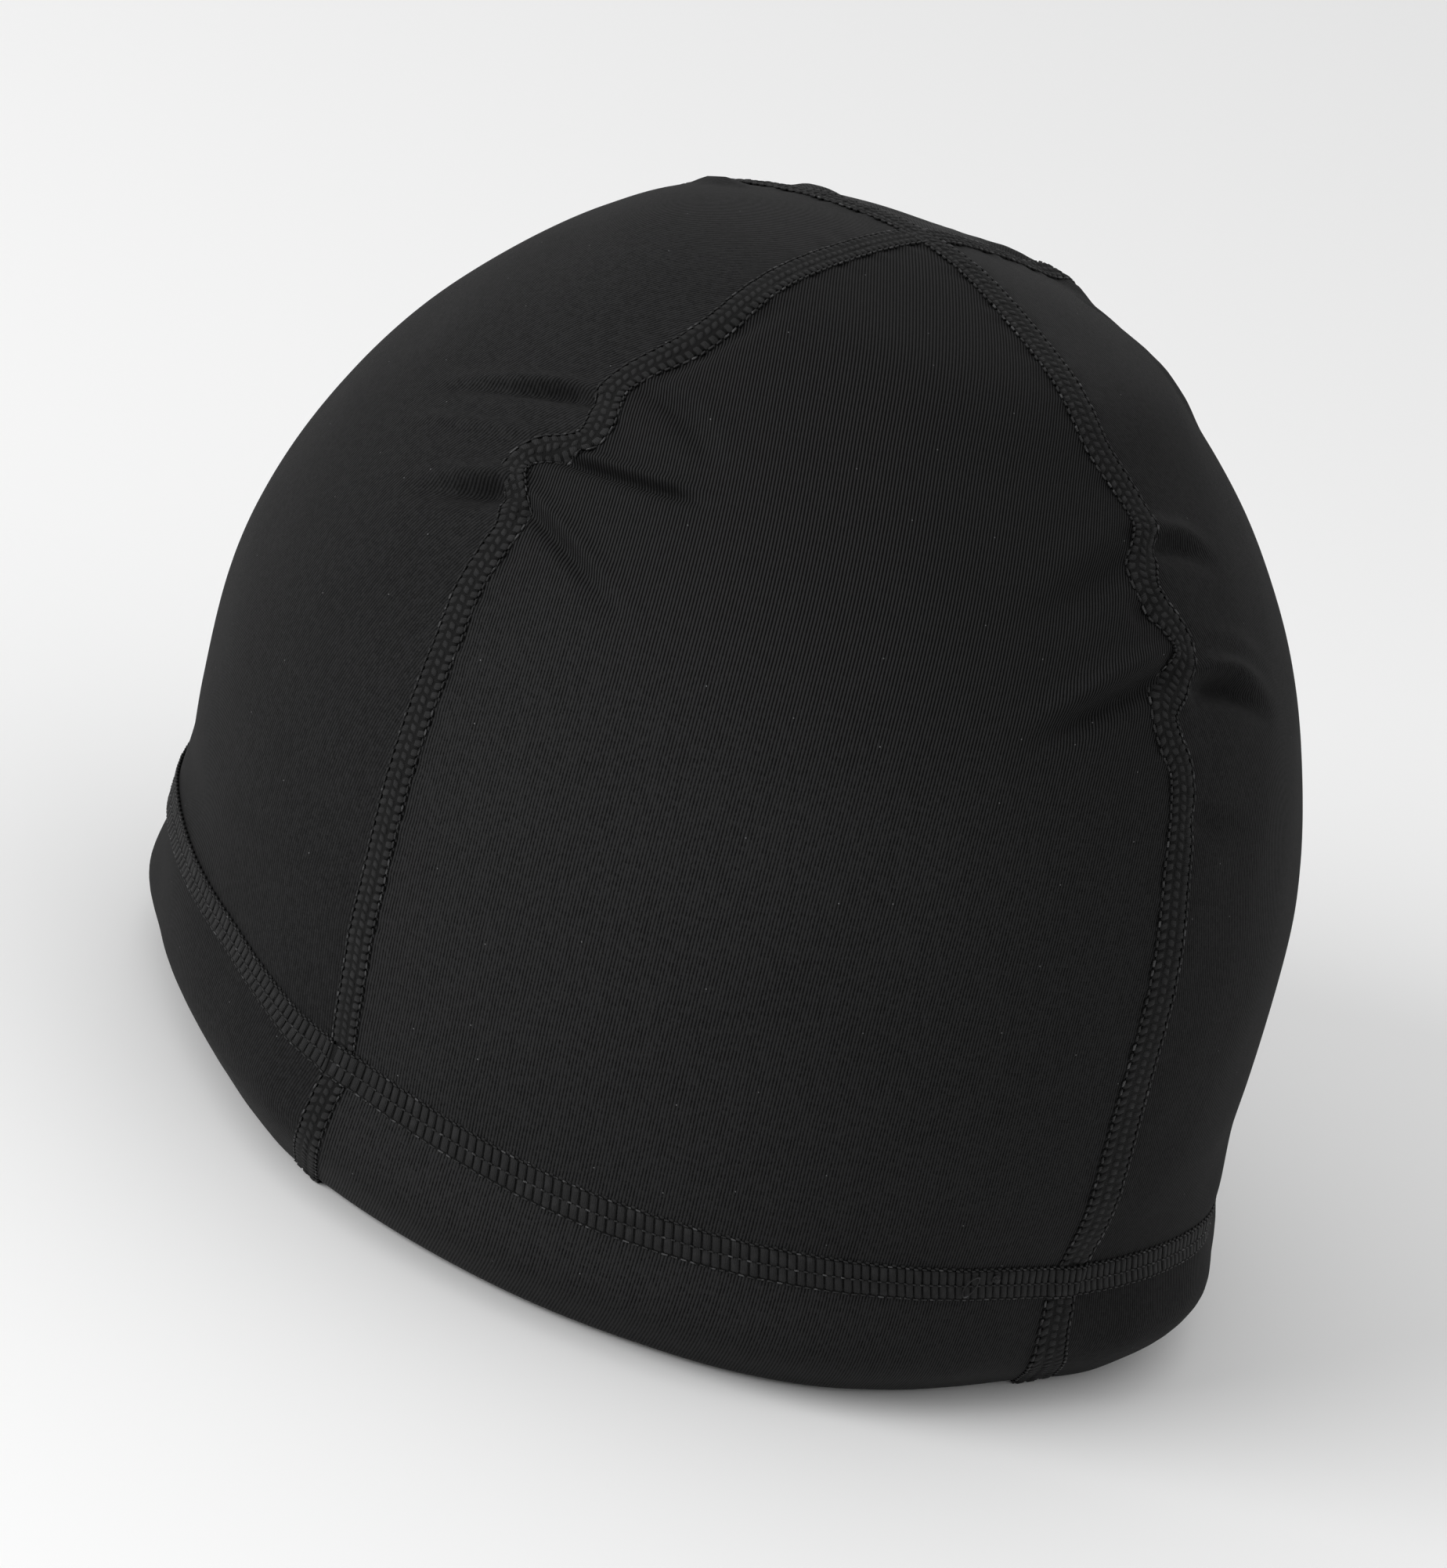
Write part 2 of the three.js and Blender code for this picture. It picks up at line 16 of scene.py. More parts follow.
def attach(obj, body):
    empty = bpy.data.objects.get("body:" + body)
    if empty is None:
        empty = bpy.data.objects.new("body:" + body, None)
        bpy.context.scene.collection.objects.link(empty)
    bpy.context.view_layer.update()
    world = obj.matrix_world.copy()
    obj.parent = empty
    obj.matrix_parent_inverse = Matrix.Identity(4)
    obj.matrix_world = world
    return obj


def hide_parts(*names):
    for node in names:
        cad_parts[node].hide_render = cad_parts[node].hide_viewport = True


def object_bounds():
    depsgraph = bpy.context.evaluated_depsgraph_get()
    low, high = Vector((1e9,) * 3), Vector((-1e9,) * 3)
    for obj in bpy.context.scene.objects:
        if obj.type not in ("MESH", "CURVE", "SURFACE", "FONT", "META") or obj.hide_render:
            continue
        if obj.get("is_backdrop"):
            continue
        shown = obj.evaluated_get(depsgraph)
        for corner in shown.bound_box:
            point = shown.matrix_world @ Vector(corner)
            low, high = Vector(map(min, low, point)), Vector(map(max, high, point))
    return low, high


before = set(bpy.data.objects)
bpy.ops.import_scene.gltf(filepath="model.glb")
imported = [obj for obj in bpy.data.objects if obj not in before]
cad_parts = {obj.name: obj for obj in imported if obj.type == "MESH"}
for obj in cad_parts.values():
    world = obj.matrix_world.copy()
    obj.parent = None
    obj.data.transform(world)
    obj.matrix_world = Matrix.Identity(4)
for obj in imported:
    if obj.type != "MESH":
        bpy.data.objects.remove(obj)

cad_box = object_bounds()
print("frame nodes:", sorted(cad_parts))

# %% [markdown]
# The cap's shape
#
# Every piece lies on one surface, so that surface comes first. It is a stack of level ovals, with a smooth
# curve through them. Modelling it by hand would give one mesh, but cloth, seams and stitches all need the
# same surface at different distances, so it is written as a formula that any flat piece can be laid on.
# Lengths are millimetres and angles degrees, 0 at the front and growing to the right. A place counts the
# ovals upwards, so place 2.5 is halfway between the third and fourth rows of the table.

# %% Sections of the cap
MM = 0.001
HEIGHT, HALF_WIDTH, HALF_DEPTH, RIGHT, BACK = range(5)
SECTIONS = np.array([
    # height, half width, half depth, right, back
    (0, 81, 89, 2.5, 1),
    (10, 88, 97, 2, 1),
    (23, 87, 95.7, 1.5, 1),
    (47, 88.1, 96.5, -1.6, -1),
    (73, 85.4, 94.5, -4.4, -3),
    (97, 77.5, 85.5, -5, -1.5),
    (116, 65.6, 72.5, -5.1, -0.5),
    (131, 51.2, 56, -5.7, 0.5),
    (142, 34.5, 36, -6, -0.5),
    (148, 0, 0, -6.5, 2),
], float)
BAND = 2
CROWN = len(SECTIONS) - 1
HALVINGS = 40

# Round the band, one section is about 18 mm high.
SECTIONS_PER_MM_AT_BAND = 1 / 18

# Past the crown the ovals come again on the other side, so their widths count backwards there.
OTHER_SIDE = np.array([1, -1, -1, 1, 1])
SECTIONS_AND_ENDS = np.vstack([2 * SECTIONS[0] - SECTIONS[1], SECTIONS, SECTIONS[-2] * OTHER_SIDE])


def smooth_step(value, low, high):
    """0 up to low, 1 from high on, and a smooth change between them."""
    t = np.clip((value - low) / (high - low), 0, 1)
    return t * t * (3 - 2 * t)


def section_at(place):
    """The section at any place: its height, half width, half depth and shifts to the right and back."""
    place = np.asarray(place, float)
    index = np.clip(np.floor(place).astype(int), 0, CROWN - 1)
    t = (place - index)[..., None]
    before, start, end, after = (SECTIONS_AND_ENDS[index + k] for k in range(4))
    curve = 2 * before - 5 * start + 4 * end - after
    twist = -before + 3 * start - 3 * end + after
    return 0.5 * (2 * start + (end - before) * t + curve * t**2 + twist * t**3)


def place_of_height(height):
    """The place at a height, found by halving the range it can be in."""
    low = np.zeros_like(np.asarray(height, float))
    high = low + CROWN
    for _ in range(HALVINGS):
        middle = (low + high) / 2
        below = section_at(middle)[..., HEIGHT] < height
        low = np.where(below, middle, low)
        high = np.where(below, high, middle)
    return (low + high) / 2


print("half width and half depth at 60 mm up:", section_at(place_of_height(60.0))[1:3].round(1).tolist())

# %% [markdown]
# The rim
#
# A real cap is never quite even. The hem flares a little at some angles, and the band of stitching rises at
# the left. This could be sculpted, but cloth, seams and stitches must all follow it, so a short table says
# how far the rim stands out and the band rises, and a smooth curve runs through its rows.

# %% The uneven rim
RIM_ANGLE, RIM_HEM, RIM_BAND, RIM_WAIST, RIM_RISE = range(5)
RIM = np.array([
    # angle, how far it stands out at the hem, the band and the waist above it, and how far the band rises
    (-135, 0.3, 0.2, 0, 1.5),
    (-97, 1.5, 2, -0.4, 3.8),
    (-85, -1, 2.2, -0.4, 4.3),
    (-65, -1.5, 0.6, 0, 2.2),
    (-57, -0.4, 0.6, 0, 0.7),
    (-50, 0.9, 0.7, 0, -0.8),
    (-40, 0.8, 0.5, 0, -1),
    (-15, 0, 0.1, 0, -2.2),
    (10, 0.1, 0, 0, -0.8),
    (27, -1.9, -0.6, 0, 0.1),
    (40, -1.8, -1, 0, -0.4),
    (52, 1.4, 0.2, 0, -0.1),
    (64, 2, 0.5, -1.2, -0.3),
    (75, 0.6, -1.6, -2.3, -0.5),
    (110, 0.8, 0, -0.5, -0.5),
    (150, 0, 0, 0, 0),
    (190, 0, 0, 0, 0.5),
], float)
RIM_LAST_ANGLE = 200
HEM_PLACE, BAND_PLACE, WAIST_PLACE, EVEN_PLACE = 1, 2.15, 2.7, 4

# Two rows more at each end close the table round the cap.
ONE_TURN = np.array([360, 0, 0, 0, 0])
RIM_ROUND = np.vstack([RIM[-2:] - ONE_TURN, RIM, RIM[:2] + ONE_TURN])


def read_table(keys, values, at):
    """A smooth curve through a table, with the slope at each row taken from its two neighbours."""
    low = np.maximum(np.arange(len(keys)) - 1, 0)
    high = np.minimum(np.arange(len(keys)) + 1, len(keys) - 1)
    slope = (values[high] - values[low]) / (keys[high] - keys[low])
    index = np.searchsorted(keys[1:-1], at, side="left")
    span = keys[index + 1] - keys[index]
    t = np.clip((at - keys[index]) / span, 0, 1)
    s = t * t * (3 - 2 * t)
    bend = t * (1 - t) * ((1 - t) * slope[index] - t * slope[index + 1]) * span
    return values[index] * (1 - s) + values[index + 1] * s + bend


def read_rim(column, angle):
    angle = np.where(angle > RIM_LAST_ANGLE, angle - 360, angle)
    return read_table(RIM_ROUND[:, RIM_ANGLE], RIM_ROUND[:, column], angle)


def rise_with_band(place, angle):
    """Moves a place up or down with the band. The lowest edge and the upper cap stay where they are."""
    below = smooth_step(place, 0, BAND)
    above = 1 - smooth_step(place, BAND, BAND + 2)
    share = np.where(place < BAND, below, above)
    return place + read_rim(RIM_RISE, angle) * share * SECTIONS_PER_MM_AT_BAND


def rim_out(place, angle):
    """How far the rim stands out: from the hem's column to the band's, the waist's and then nothing."""
    hem, band, waist = (read_rim(column, angle) for column in (RIM_HEM, RIM_BAND, RIM_WAIST))
    lower = hem + (band - hem) * smooth_step(place, HEM_PLACE, BAND_PLACE)
    lower = lower + (waist - lower) * smooth_step(place, BAND_PLACE, WAIST_PLACE)
    return lower * (1 - smooth_step(place, WAIST_PLACE, EVEN_PLACE))


print("the band rises at the left by", round(float(read_rim(RIM_RISE, -85.0)), 1), "mm")

# %% [markdown]
# The seams
#
# Four seams meet at the crown. Each strays a few millimetres to one side or the other, and under the crown,
# where the cloth bunches, they zigzag. The table follows them by height. A seam strays along the cloth, so
# the millimetres are turned into an angle by the cap's mean radius there.

# %% The wandering seams
SEAM_NAMES = ("front_left", "front_right", "back_right", "back_left")
SEAM_ANGLES = {"front_left": -45, "front_right": 40, "back_right": 133, "back_left": 224}
SEAM_WANDER = np.array([
    # height, and how far each seam strays along the cloth: front left, front right, back right, back left
    (0, -2.7, 4.5, 1, 0),
    (10, 1.4, -3.3, 0.5, 0.5),
    (18, 1.6, -5.1, 0, 0.5),
    (30, 1.5, -4.2, 0, 0),
    (54, 1.4, -4, -1, 1),
    (73, 0, -1.8, 0, 0.5),
    (88, -1.8, -1.1, 1, 0),
    (95, -3.4, -0.3, 1.5, -1),
    (101, -3.5, -0.4, 1, -2),
    (105, -3.8, -2.9, 0, -1.5),
    (108, -6.7, -3.7, -1.5, 0),
    (110, -9.1, -2.4, -2, 1),
    (112, -9.4, 0.6, -1.5, 2),
    (114, -7.4, 2.5, 0, 2),
    (116, -4, 2.9, 1, 1),
    (118, -2.1, 1.4, 2, 0),
    (120, -2.2, -0.9, 2, -1),
    (122, -3.4, -2.4, 1, -1),
    (124, -4.4, -2.1, 0, -0.5),
    (126, -4.1, -0.4, -0.5, 0),
    (129, -2.4, 1, -1, 0.5),
    (132, -0.6, -0.6, -0.5, 0.5),
    (137, 0.7, -3.7, 0, 0),
    (143, 0, -2.4, 0, 0),
    (148, 0, 0, 0, 0),
], float)


def roundness(place):
    """The cap's mean radius at a place."""
    section = section_at(place)
    return (section[..., HALF_WIDTH] + section[..., HALF_DEPTH]) / 2


def seam_angle(seam, place):
    column = 1 + SEAM_NAMES.index(seam)
    stray = read_table(SEAM_WANDER[:, 0], SEAM_WANDER[:, column], section_at(place)[..., HEIGHT])
    return SEAM_ANGLES[seam] + np.degrees(stray / roundness(place))


SEAMS_AT_BAND = [float(seam_angle(seam, np.array(float(BAND)))) for seam in SEAM_NAMES]
print("seams at the band, degrees:", [round(angle, 1) for angle in SEAMS_AT_BAND])

# %% [markdown]
# Points on the even cap
#
# The even surface has the rim's waves but no folds yet. The way out of the cloth at a point is found from
# its neighbours: the step to the right and the step upwards lie in the cloth, and their cross product stands
# on it. Near the hem it is kept level, because the cloth stands upright there.

# %% Points and ways out
NEIGHBOUR_PLACE, NEIGHBOUR_ANGLE = 0.01, 1


def even_point(place, angle):
    place, angle = np.broadcast_arrays(np.asarray(place, float), np.asarray(angle, float))
    section = section_at(place)
    turn = np.radians(angle)
    out = rim_out(place, angle)
    return np.stack([
        section[..., RIGHT] + (section[..., HALF_WIDTH] + out) * np.sin(turn),
        section[..., BACK] - (section[..., HALF_DEPTH] + out) * np.cos(turn),
        section[..., HEIGHT],
    ], -1)


def unit(vectors):
    return vectors / np.linalg.norm(vectors, axis=-1, keepdims=True)


def outward(place, angle):
    above = even_point(np.minimum(place + NEIGHBOUR_PLACE, CROWN - NEIGHBOUR_PLACE), angle)
    below = even_point(np.maximum(place - NEIGHBOUR_PLACE, 0), angle)
    right = even_point(place, angle + NEIGHBOUR_ANGLE) - even_point(place, angle - NEIGHBOUR_ANGLE)
    normal = unit(np.cross(right, above - below))
    normal[..., 2] *= smooth_step(place, BAND, BAND + 1)
    return unit(normal)


print("front of the even band, mm:", even_point(BAND, 0).round(1).tolist())

# %% [markdown]
# The folds
#
# Where the seams bunch, they drag the jersey into folds that fan out from them. A cloth simulation would put
# them anywhere, and these have their places, so each is a line on the cloth with a short row of sizes. The
# cloth rises or sinks along the line, and the step lifts its upper side over its lower one, as a drag line
# does. Most folds start at a seam, and each fades towards its end. How much shade the finish paints on the
# steep side of each fold, where its shadow falls, is kept too.

# %% Folds in the cloth
FOLDS = [
    # height, angle, end height, end angle, rise, step, half width, bow, and the share where it starts to fade
    (122.3, -50.5, 107.3, -78, -0.9, 1.35, 1.6, 2.3, 0.15),
    (115, -54, 104, -76, 0.7, 0, 1.3, 0.7, 0.4),
    (108.3, -51, 99.6, -65, -0.9, 1.7, 2.3, 0.5, 0.15),
    (114.3, -50, 119, -26, -0.6, 1.1, 1.1, 0.4, 0.7),
    (108.4, -49.5, 100.5, -26, -0.5, 0.85, 1.5, 1.3, 0.4),
    (127, -43.5, 121.5, -25.5, -0.8, 0.9, 2.4, 1.6, 0.4),
    (140, -38.5, 125, -46.5, -1, 0, 1.8, 0, 0.5),
    (126.8, 41.5, 123, 60, -0.3, 1.15, 2.3, 1.4, 0.4),
    (126.8, 37, 116, 13, -0.8, 0.9, 3.4, 0.9, 0.3),
    (119.7, 38, 118.5, 33, -0.6, 0, 1.8, 0, 0.5),
    (116.8, 46, 106.5, 69, 0.5, 0, 2, 2.6, 0.5),
    (111.6, 45.1, 104, 65, -0.8, 1.9, 2.5, 2, 0.38),
    (114, 39.8, 102.3, 15, -0.4, 1.35, 2.4, 1.6, 0.55),
    (95.6, 42, 93, 54, -0.6, 0.4, 2.2, 0, 0.3),
    (112, 132, 107.5, 119, -0.3, 0.5, 2, 1, 0.3),
    (118, 136, 112, 154, -0.8, 0.8, 2, 1, 0.3),
    (113, 222, 108, 203, -0.8, 0.9, 2.2, 1, 0.3),
    (103, 227, 100, 243, -0.8, 0.7, 2.2, 1, 0.3),
    (142.5, 236, 138.5, 229, 1, 0, 2.1, 0, 0.6),
    (145.5, 213, 141, 205, 0.8, 0, 2.2, 0, 0.6),
    (145.4, 196, 145, 160, -1.1, 0, 6, 0, 0.6),
    (143.6, 152, 141, 121, 1.1, 0, 2.8, 0, 0.8),
    (142.5, 115, 138.5, 109, -1, 0, 2.2, 0, 0.6),
    (139, 102, 131.5, 89, 0.7, 0, 3, 0, 0.5),
]
FOLD_LEGS = 8
FOLD_GROWS = (-0.25, 0.25)
STEP_TO_SLOPE = 3.1


def fold_line(height, angle, end_height, end_angle, rise, step, half_width, bow, fades):
    t = np.linspace(0, 1, FOLD_LEGS + 1)
    heights = height + (end_height - height) * t + bow * 4 * t * (1 - t)
    line = even_point(place_of_height(heights), angle + (end_angle - angle) * t)
    return line, rise, step, half_width, fades


FOLD_LINES = [fold_line(*row) for row in FOLDS]


def nearest_on_line(points, line):
    """How far points are from a line, how far along it they are, and how far above it they lie."""
    nearest = np.full(points.shape[:-1], np.inf)
    along = np.zeros(nearest.shape)
    above = np.zeros(nearest.shape)
    for number in range(FOLD_LEGS):
        start = line[number]
        leg = line[number + 1] - start
        t = np.clip((points - start) @ leg / (leg @ leg), 0, 1)
        from_line = points - start - t[..., None] * leg
        distance = np.linalg.norm(from_line, axis=-1)
        closer = distance < nearest
        nearest = np.where(closer, distance, nearest)
        along = np.where(closer, (number + t) / FOLD_LEGS, along)
        above = np.where(closer, from_line[..., 2], above)
    return nearest, along, above


def folds_at(points):
    """How far the folds lift the cloth at points of the even surface, and how much shade is painted on their
    sides.
    """
    lift = np.zeros(points.shape[:-1])
    painted_fold_shade = np.zeros(points.shape[:-1])
    for line, rise, step, half_width, fades in FOLD_LINES:
        nearest, along, above = nearest_on_line(points, line)
        strength = smooth_step(along, *FOLD_GROWS) * (1 - smooth_step(along, fades, 1))
        near_line = strength * np.exp(-((nearest / half_width) ** 2))
        lift += (rise + step * STEP_TO_SLOPE * above / half_width) * near_line
        # Painted shade: how much the finish darkens the steep side of each fold, where its shadow falls.
        painted_fold_shade = np.maximum(painted_fold_shade, near_line**2 * min(step / half_width, 1))
    return lift, painted_fold_shade


longest_fold = max(float(np.linalg.norm(line[-1] - line[0])) for line, *_ in FOLD_LINES)
print(len(FOLDS), "folds, the longest", round(longest_fold), "mm")

# %% [markdown]
# Small unevenness
#
# The stitching pinches the cloth under the band. Knit cloth is never quite smooth either, so long shallow
# waves a fraction of a millimetre deep run over it. A noise modifier would do for the cloth alone, but the
# stitches must rise and sink with it, so the waves are part of the same formula.

# %% Fine relief
BAND_PINCH = 0.45
BAND_PINCH_REACH = 0.24
WAVES = [
    # wave vector in turns per metre, depth in millimetres, phase
    ((31, 12, 9), 0.07, 0.3),
    ((-14, 27, 21), 0.06, 1.9),
    ((9, -22, 43), 0.05, 4.1),
    ((52, 37, -28), 0.03, 2.6),
]


def relief(points, place):
    lift = folds_at(points)[0] - BAND_PINCH * np.exp(-(((place - BAND) / BAND_PINCH_REACH) ** 2))
    for turns, depth, phase in WAVES:
        lift += depth * np.sin(2 * math.pi * (points @ np.array(turns)) * MM + phase)
    return lift


def cloth_point(place, angle, out):
    """A point of the folded cloth, moved outwards by some millimetres."""
    lifted = rise_with_band(place, angle)
    even = even_point(lifted, angle)
    return even + outward(lifted, angle) * (relief(even, place) + out)[..., None]


probe = cloth_point(np.array([2.0, 5.0]), np.array([0.0, 90.0]), np.zeros(2))
print("front of the band and right of the sixth section, mm:", probe.round(1).tolist())

# %% [markdown]
# The stage
#
# The photograph was taken from a little above, with the camera rolled so that the cap's right side hangs
# lower. The camera's place is an orbit round a point in the cap, and the roll turns its right and up axes.
# A long lens keeps the oval of the hem flat, as it is in the photograph.

# %% Camera
TARGET = Vector((0.0015, 0.001, 0.06))
DISTANCE = 0.9
ELEVATION = math.radians(19.7)
AZIMUTH = math.radians(-11.2)
ROLL = math.radians(20.2)
SENSOR = 36
IMAGE_LONG_SIDE = 2002
FOCAL_PIXELS = 7358
OBJECT_RIGHT_PIXELS, OBJECT_UP_PIXELS = 78.3, 19.1

camera_data = bpy.data.cameras.new("camera")
camera_data.sensor_width = SENSOR
camera_data.lens = SENSOR * FOCAL_PIXELS / IMAGE_LONG_SIDE
camera_data.shift_x = -OBJECT_RIGHT_PIXELS / IMAGE_LONG_SIDE
camera_data.shift_y = -OBJECT_UP_PIXELS / IMAGE_LONG_SIDE
camera = bpy.data.objects.new("camera", camera_data)
bpy.context.scene.collection.objects.link(camera)

away = Vector((
    math.sin(AZIMUTH) * math.cos(ELEVATION),
    -math.cos(AZIMUTH) * math.cos(ELEVATION),
    math.sin(ELEVATION),
))
level_right = Vector((math.cos(AZIMUTH), math.sin(AZIMUTH), 0))
level_up = away.cross(level_right)
right = level_right * math.cos(ROLL) + level_up * math.sin(ROLL)
up = level_up * math.cos(ROLL) - level_right * math.sin(ROLL)
camera_axes = Matrix((right, up, away)).transposed().to_4x4()
camera.matrix_world = Matrix.Translation(TARGET + away * DISTANCE) @ camera_axes
bpy.context.scene.camera = camera
bpy.context.scene.view_settings.view_transform = "Standard"
print("lens, mm:", round(camera_data.lens, 1))

# %% [markdown]
# The photograph's light is a white studio: soft from all sides and a little stronger from the left. A white
# world gives the even part, and a large area light gives the direction. The floor is plain and pale.

# %% Floor and light
FLOOR_SIZE = 12
FLOOR_WHITE = (0.86, 0.86, 0.86)
FLOOR_ROUGHNESS = 0.7
WORLD_STRENGTH = 0.8
SOFTBOX_PLACE = Vector((-1.6, -0.8, 0.75))
SOFTBOX_AIM = Vector((0, 0, 0.07))
SOFTBOX_SIZE = 1.2
SOFTBOX_POWER = 32


def plain_material(name, colour, roughness):
    material = bpy.data.materials.get(name) or bpy.data.materials.new(name)
    material.use_nodes = True
    shader = material.node_tree.nodes["Principled BSDF"]
    shader.inputs["Base Color"].default_value = (*colour, 1)
    shader.inputs["Roughness"].default_value = roughness
    return material


bpy.ops.object.select_all(action="DESELECT")
bpy.ops.mesh.primitive_plane_add(size=FLOOR_SIZE)
floor = bpy.context.object
floor.name = "floor"
floor.data.materials.append(plain_material("floor_white", FLOOR_WHITE, FLOOR_ROUGHNESS))
floor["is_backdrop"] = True

world = bpy.data.worlds.new("studio")
world.use_nodes = True
world.node_tree.nodes["Background"].inputs["Color"].default_value = (1, 1, 1, 1)
world.node_tree.nodes["Background"].inputs["Strength"].default_value = WORLD_STRENGTH
bpy.context.scene.world = world

softbox_data = bpy.data.lights.new("softbox", "AREA")
softbox_data.shape = "DISK"
softbox_data.size = SOFTBOX_SIZE
softbox_data.energy = SOFTBOX_POWER
softbox = bpy.data.objects.new("softbox", softbox_data)
softbox.location = SOFTBOX_PLACE
softbox.rotation_mode = "QUATERNION"
softbox.rotation_quaternion = (SOFTBOX_AIM - SOFTBOX_PLACE).to_track_quat("-Z", "Y")
bpy.context.scene.collection.objects.link(softbox)
print("softbox to the cap, m:", round((SOFTBOX_AIM - SOFTBOX_PLACE).length, 2))

# %% [markdown]
# Flat pieces
#
# Cloth and stitching are easiest to make flat. A gore starts as a plain grid, and a seam as one stitch that
# an Array modifier repeats. Each flat piece is then laid on the cap: its width runs across its path, its
# length along it, and its height outwards. The flat position is kept as a UV map in metres, so that knit and
# thread patterns follow the piece and not the room.

# %% Helpers for flat pieces
def get_points(piece):
    points = np.empty(len(piece.data.vertices) * 3, np.float32)
    piece.data.vertices.foreach_get("co", points)
    return points.reshape(-1, 3).astype(float)


def set_points(piece, points):
    piece.data.vertices.foreach_set("co", points.astype(np.float32).ravel())
    piece.data.update()


def mark_points(piece, name, values):
    """Stores a number for each vertex, for the finish to read."""
    layer = piece.data.attributes.new(name, "FLOAT", "POINT")
    values = np.broadcast_to(values, len(piece.data.vertices))
    layer.data.foreach_set("value", values.astype(np.float32))


def keep_flat_position(piece, flat):
    """Stores a flat position in millimetres for each vertex, as a UV map in metres."""
    corners = np.empty(len(piece.data.loops), np.int32)
    piece.data.loops.foreach_get("vertex_index", corners)
    layer = piece.data.uv_layers.get("flat") or piece.data.uv_layers.new(name="flat")
    layer.data.foreach_set("uv", (flat[corners, :2] * MM).astype(np.float32).ravel())


def apply_modifier(piece, kind, **settings):
    modifier = piece.modifiers.new(kind.lower(), kind)
    for name, value in settings.items():
        setattr(modifier, name, value)
    bpy.context.view_layer.objects.active = piece
    bpy.ops.object.modifier_apply(modifier=modifier.name)


def triangles_of(piece):
    return sum(len(face.vertices) - 2 for face in piece.data.polygons)


# %% [markdown]
# The gores
#
# Each gore is one sheet of jersey. Its path starts at the raw edge inside, runs down to the hem, turns round
# the fold and climbs the outside to the crown. The grid is laid on that path, so the double hem is real, and
# Solidify then gives the cloth its thickness towards the wearer. The cap rests on the seams' thick ends, so
# the hem's edge stands half a millimetre above the floor.

# %% The gore's path
CLOTH = 1.1
HEM_CLOTH = 2.4
HEM_FOLD_RADIUS = HEM_CLOTH / 2
HEM_LIFT = 0.5
HEM_FOLD_MIDDLE = HEM_LIFT + HEM_FOLD_RADIUS
RAW_EDGE_HEIGHT = 25.8
INSIDE_ROWS, TURN_ROWS, WALL_ROWS = 24, 7, 400
GORE_TOP_PLACE = CROWN - 0.04
GORES = {
    "panel_front": ("front_left", "front_right"),
    "panel_right": ("front_right", "back_right"),
    "panel_back": ("back_right", "back_left"),
    "panel_left": ("back_left", "front_left"),
}


def hem_and_wall(top_place):
    """Places and offsets along the path of the cloth, and how far it has turned from inside to outside."""
    inside = np.linspace(RAW_EDGE_HEIGHT, HEM_FOLD_MIDDLE, INSIDE_ROWS)
    turn = np.radians(np.linspace(0, 180, TURN_ROWS + 2))[1:-1]
    under = HEM_FOLD_MIDDLE - HEM_FOLD_RADIUS * np.sin(turn)
    wall = np.linspace(place_of_height(HEM_FOLD_MIDDLE), top_place, WALL_ROWS)
    turning_out = -HEM_FOLD_RADIUS * (1 + np.cos(turn))
    place = np.concatenate([place_of_height(inside), place_of_height(under), wall])
    out = np.concatenate([np.full(INSIDE_ROWS, -HEM_CLOTH), turning_out, np.zeros(WALL_ROWS)])
    turned = np.concatenate([np.zeros(INSIDE_ROWS), turn, np.full(WALL_ROWS, math.pi)])
    return place, out, turned


def length_along(points):
    return np.concatenate([[0], np.cumsum(np.linalg.norm(np.diff(points, axis=0), axis=1))])


places, outs, _ = hem_and_wall(GORE_TOP_PLACE)
front_path = length_along(cloth_point(places, np.zeros(len(places)), outs))
print("path of the cloth at the front, mm:", round(front_path[-1]))

# %% [markdown]
# Across its width a gore goes from one seam to the next. Near a seam the cloth strays with it, and the
# thread draws it into small puckers, a few millimetres long, that die out within a centimetre. The columns
# of the grid lie closer together at the seams and its rows closer at the folds, where the shape is finest.

# %% A gore from seam to seam
SEAM_GAP = 0.15
WANDER_REACH = 20
ROWS_CLOSER_AT_FOLDS = 1.5
FOLDS_BEGIN, FOLDS_END = (4.8, 5.1), (7.0, 7.4)
PUCKER_DEPTH = 0.16
PUCKER_REACH = 4.5
PUCKERS_AT_LEFT_SEAM = [
    # pitch, share of the depth, phase
    (6.5, 1, 0),
    (3.7, 0.6, 1),
]
PUCKERS_AT_RIGHT_SEAM = [
    (6.5, 1, 2),
    (4.1, 0.6, 0),
]


def gore_turn(left_seam, right_seam):
    return (SEAM_ANGLES[right_seam] - SEAM_ANGLES[left_seam]) % 360


def gore_width(left_seam, right_seam, place):
    return np.radians(gore_turn(left_seam, right_seam)) * roundness(place)


def gore_angle(left_seam, right_seam, place, share):
    """The angle of a point of a gore. Near a seam the cloth strays with it."""
    width = gore_width(left_seam, right_seam, place)
    start = SEAM_ANGLES[left_seam]
    stray_left = seam_angle(left_seam, place) - start
    stray_right = seam_angle(right_seam, place) - SEAM_ANGLES[right_seam]
    pull_left = np.exp(-((share * width / WANDER_REACH) ** 2))
    pull_right = np.exp(-(((1 - share) * width / WANDER_REACH) ** 2))
    turned = gore_turn(left_seam, right_seam) * share
    return start + turned + stray_left * pull_left + stray_right * pull_right


def even_to_closer(row_share, places, path_length):
    """Lengths along the path for evenly numbered rows, closer together where the folds are."""
    at_folds = smooth_step(places, *FOLDS_BEGIN) * (1 - smooth_step(places, *FOLDS_END))
    density = 1 + ROWS_CLOSER_AT_FOLDS * at_folds
    rows = np.concatenate([[0], np.cumsum(density[1:] * np.diff(path_length))])
    return np.interp(row_share * rows[-1], rows, path_length)


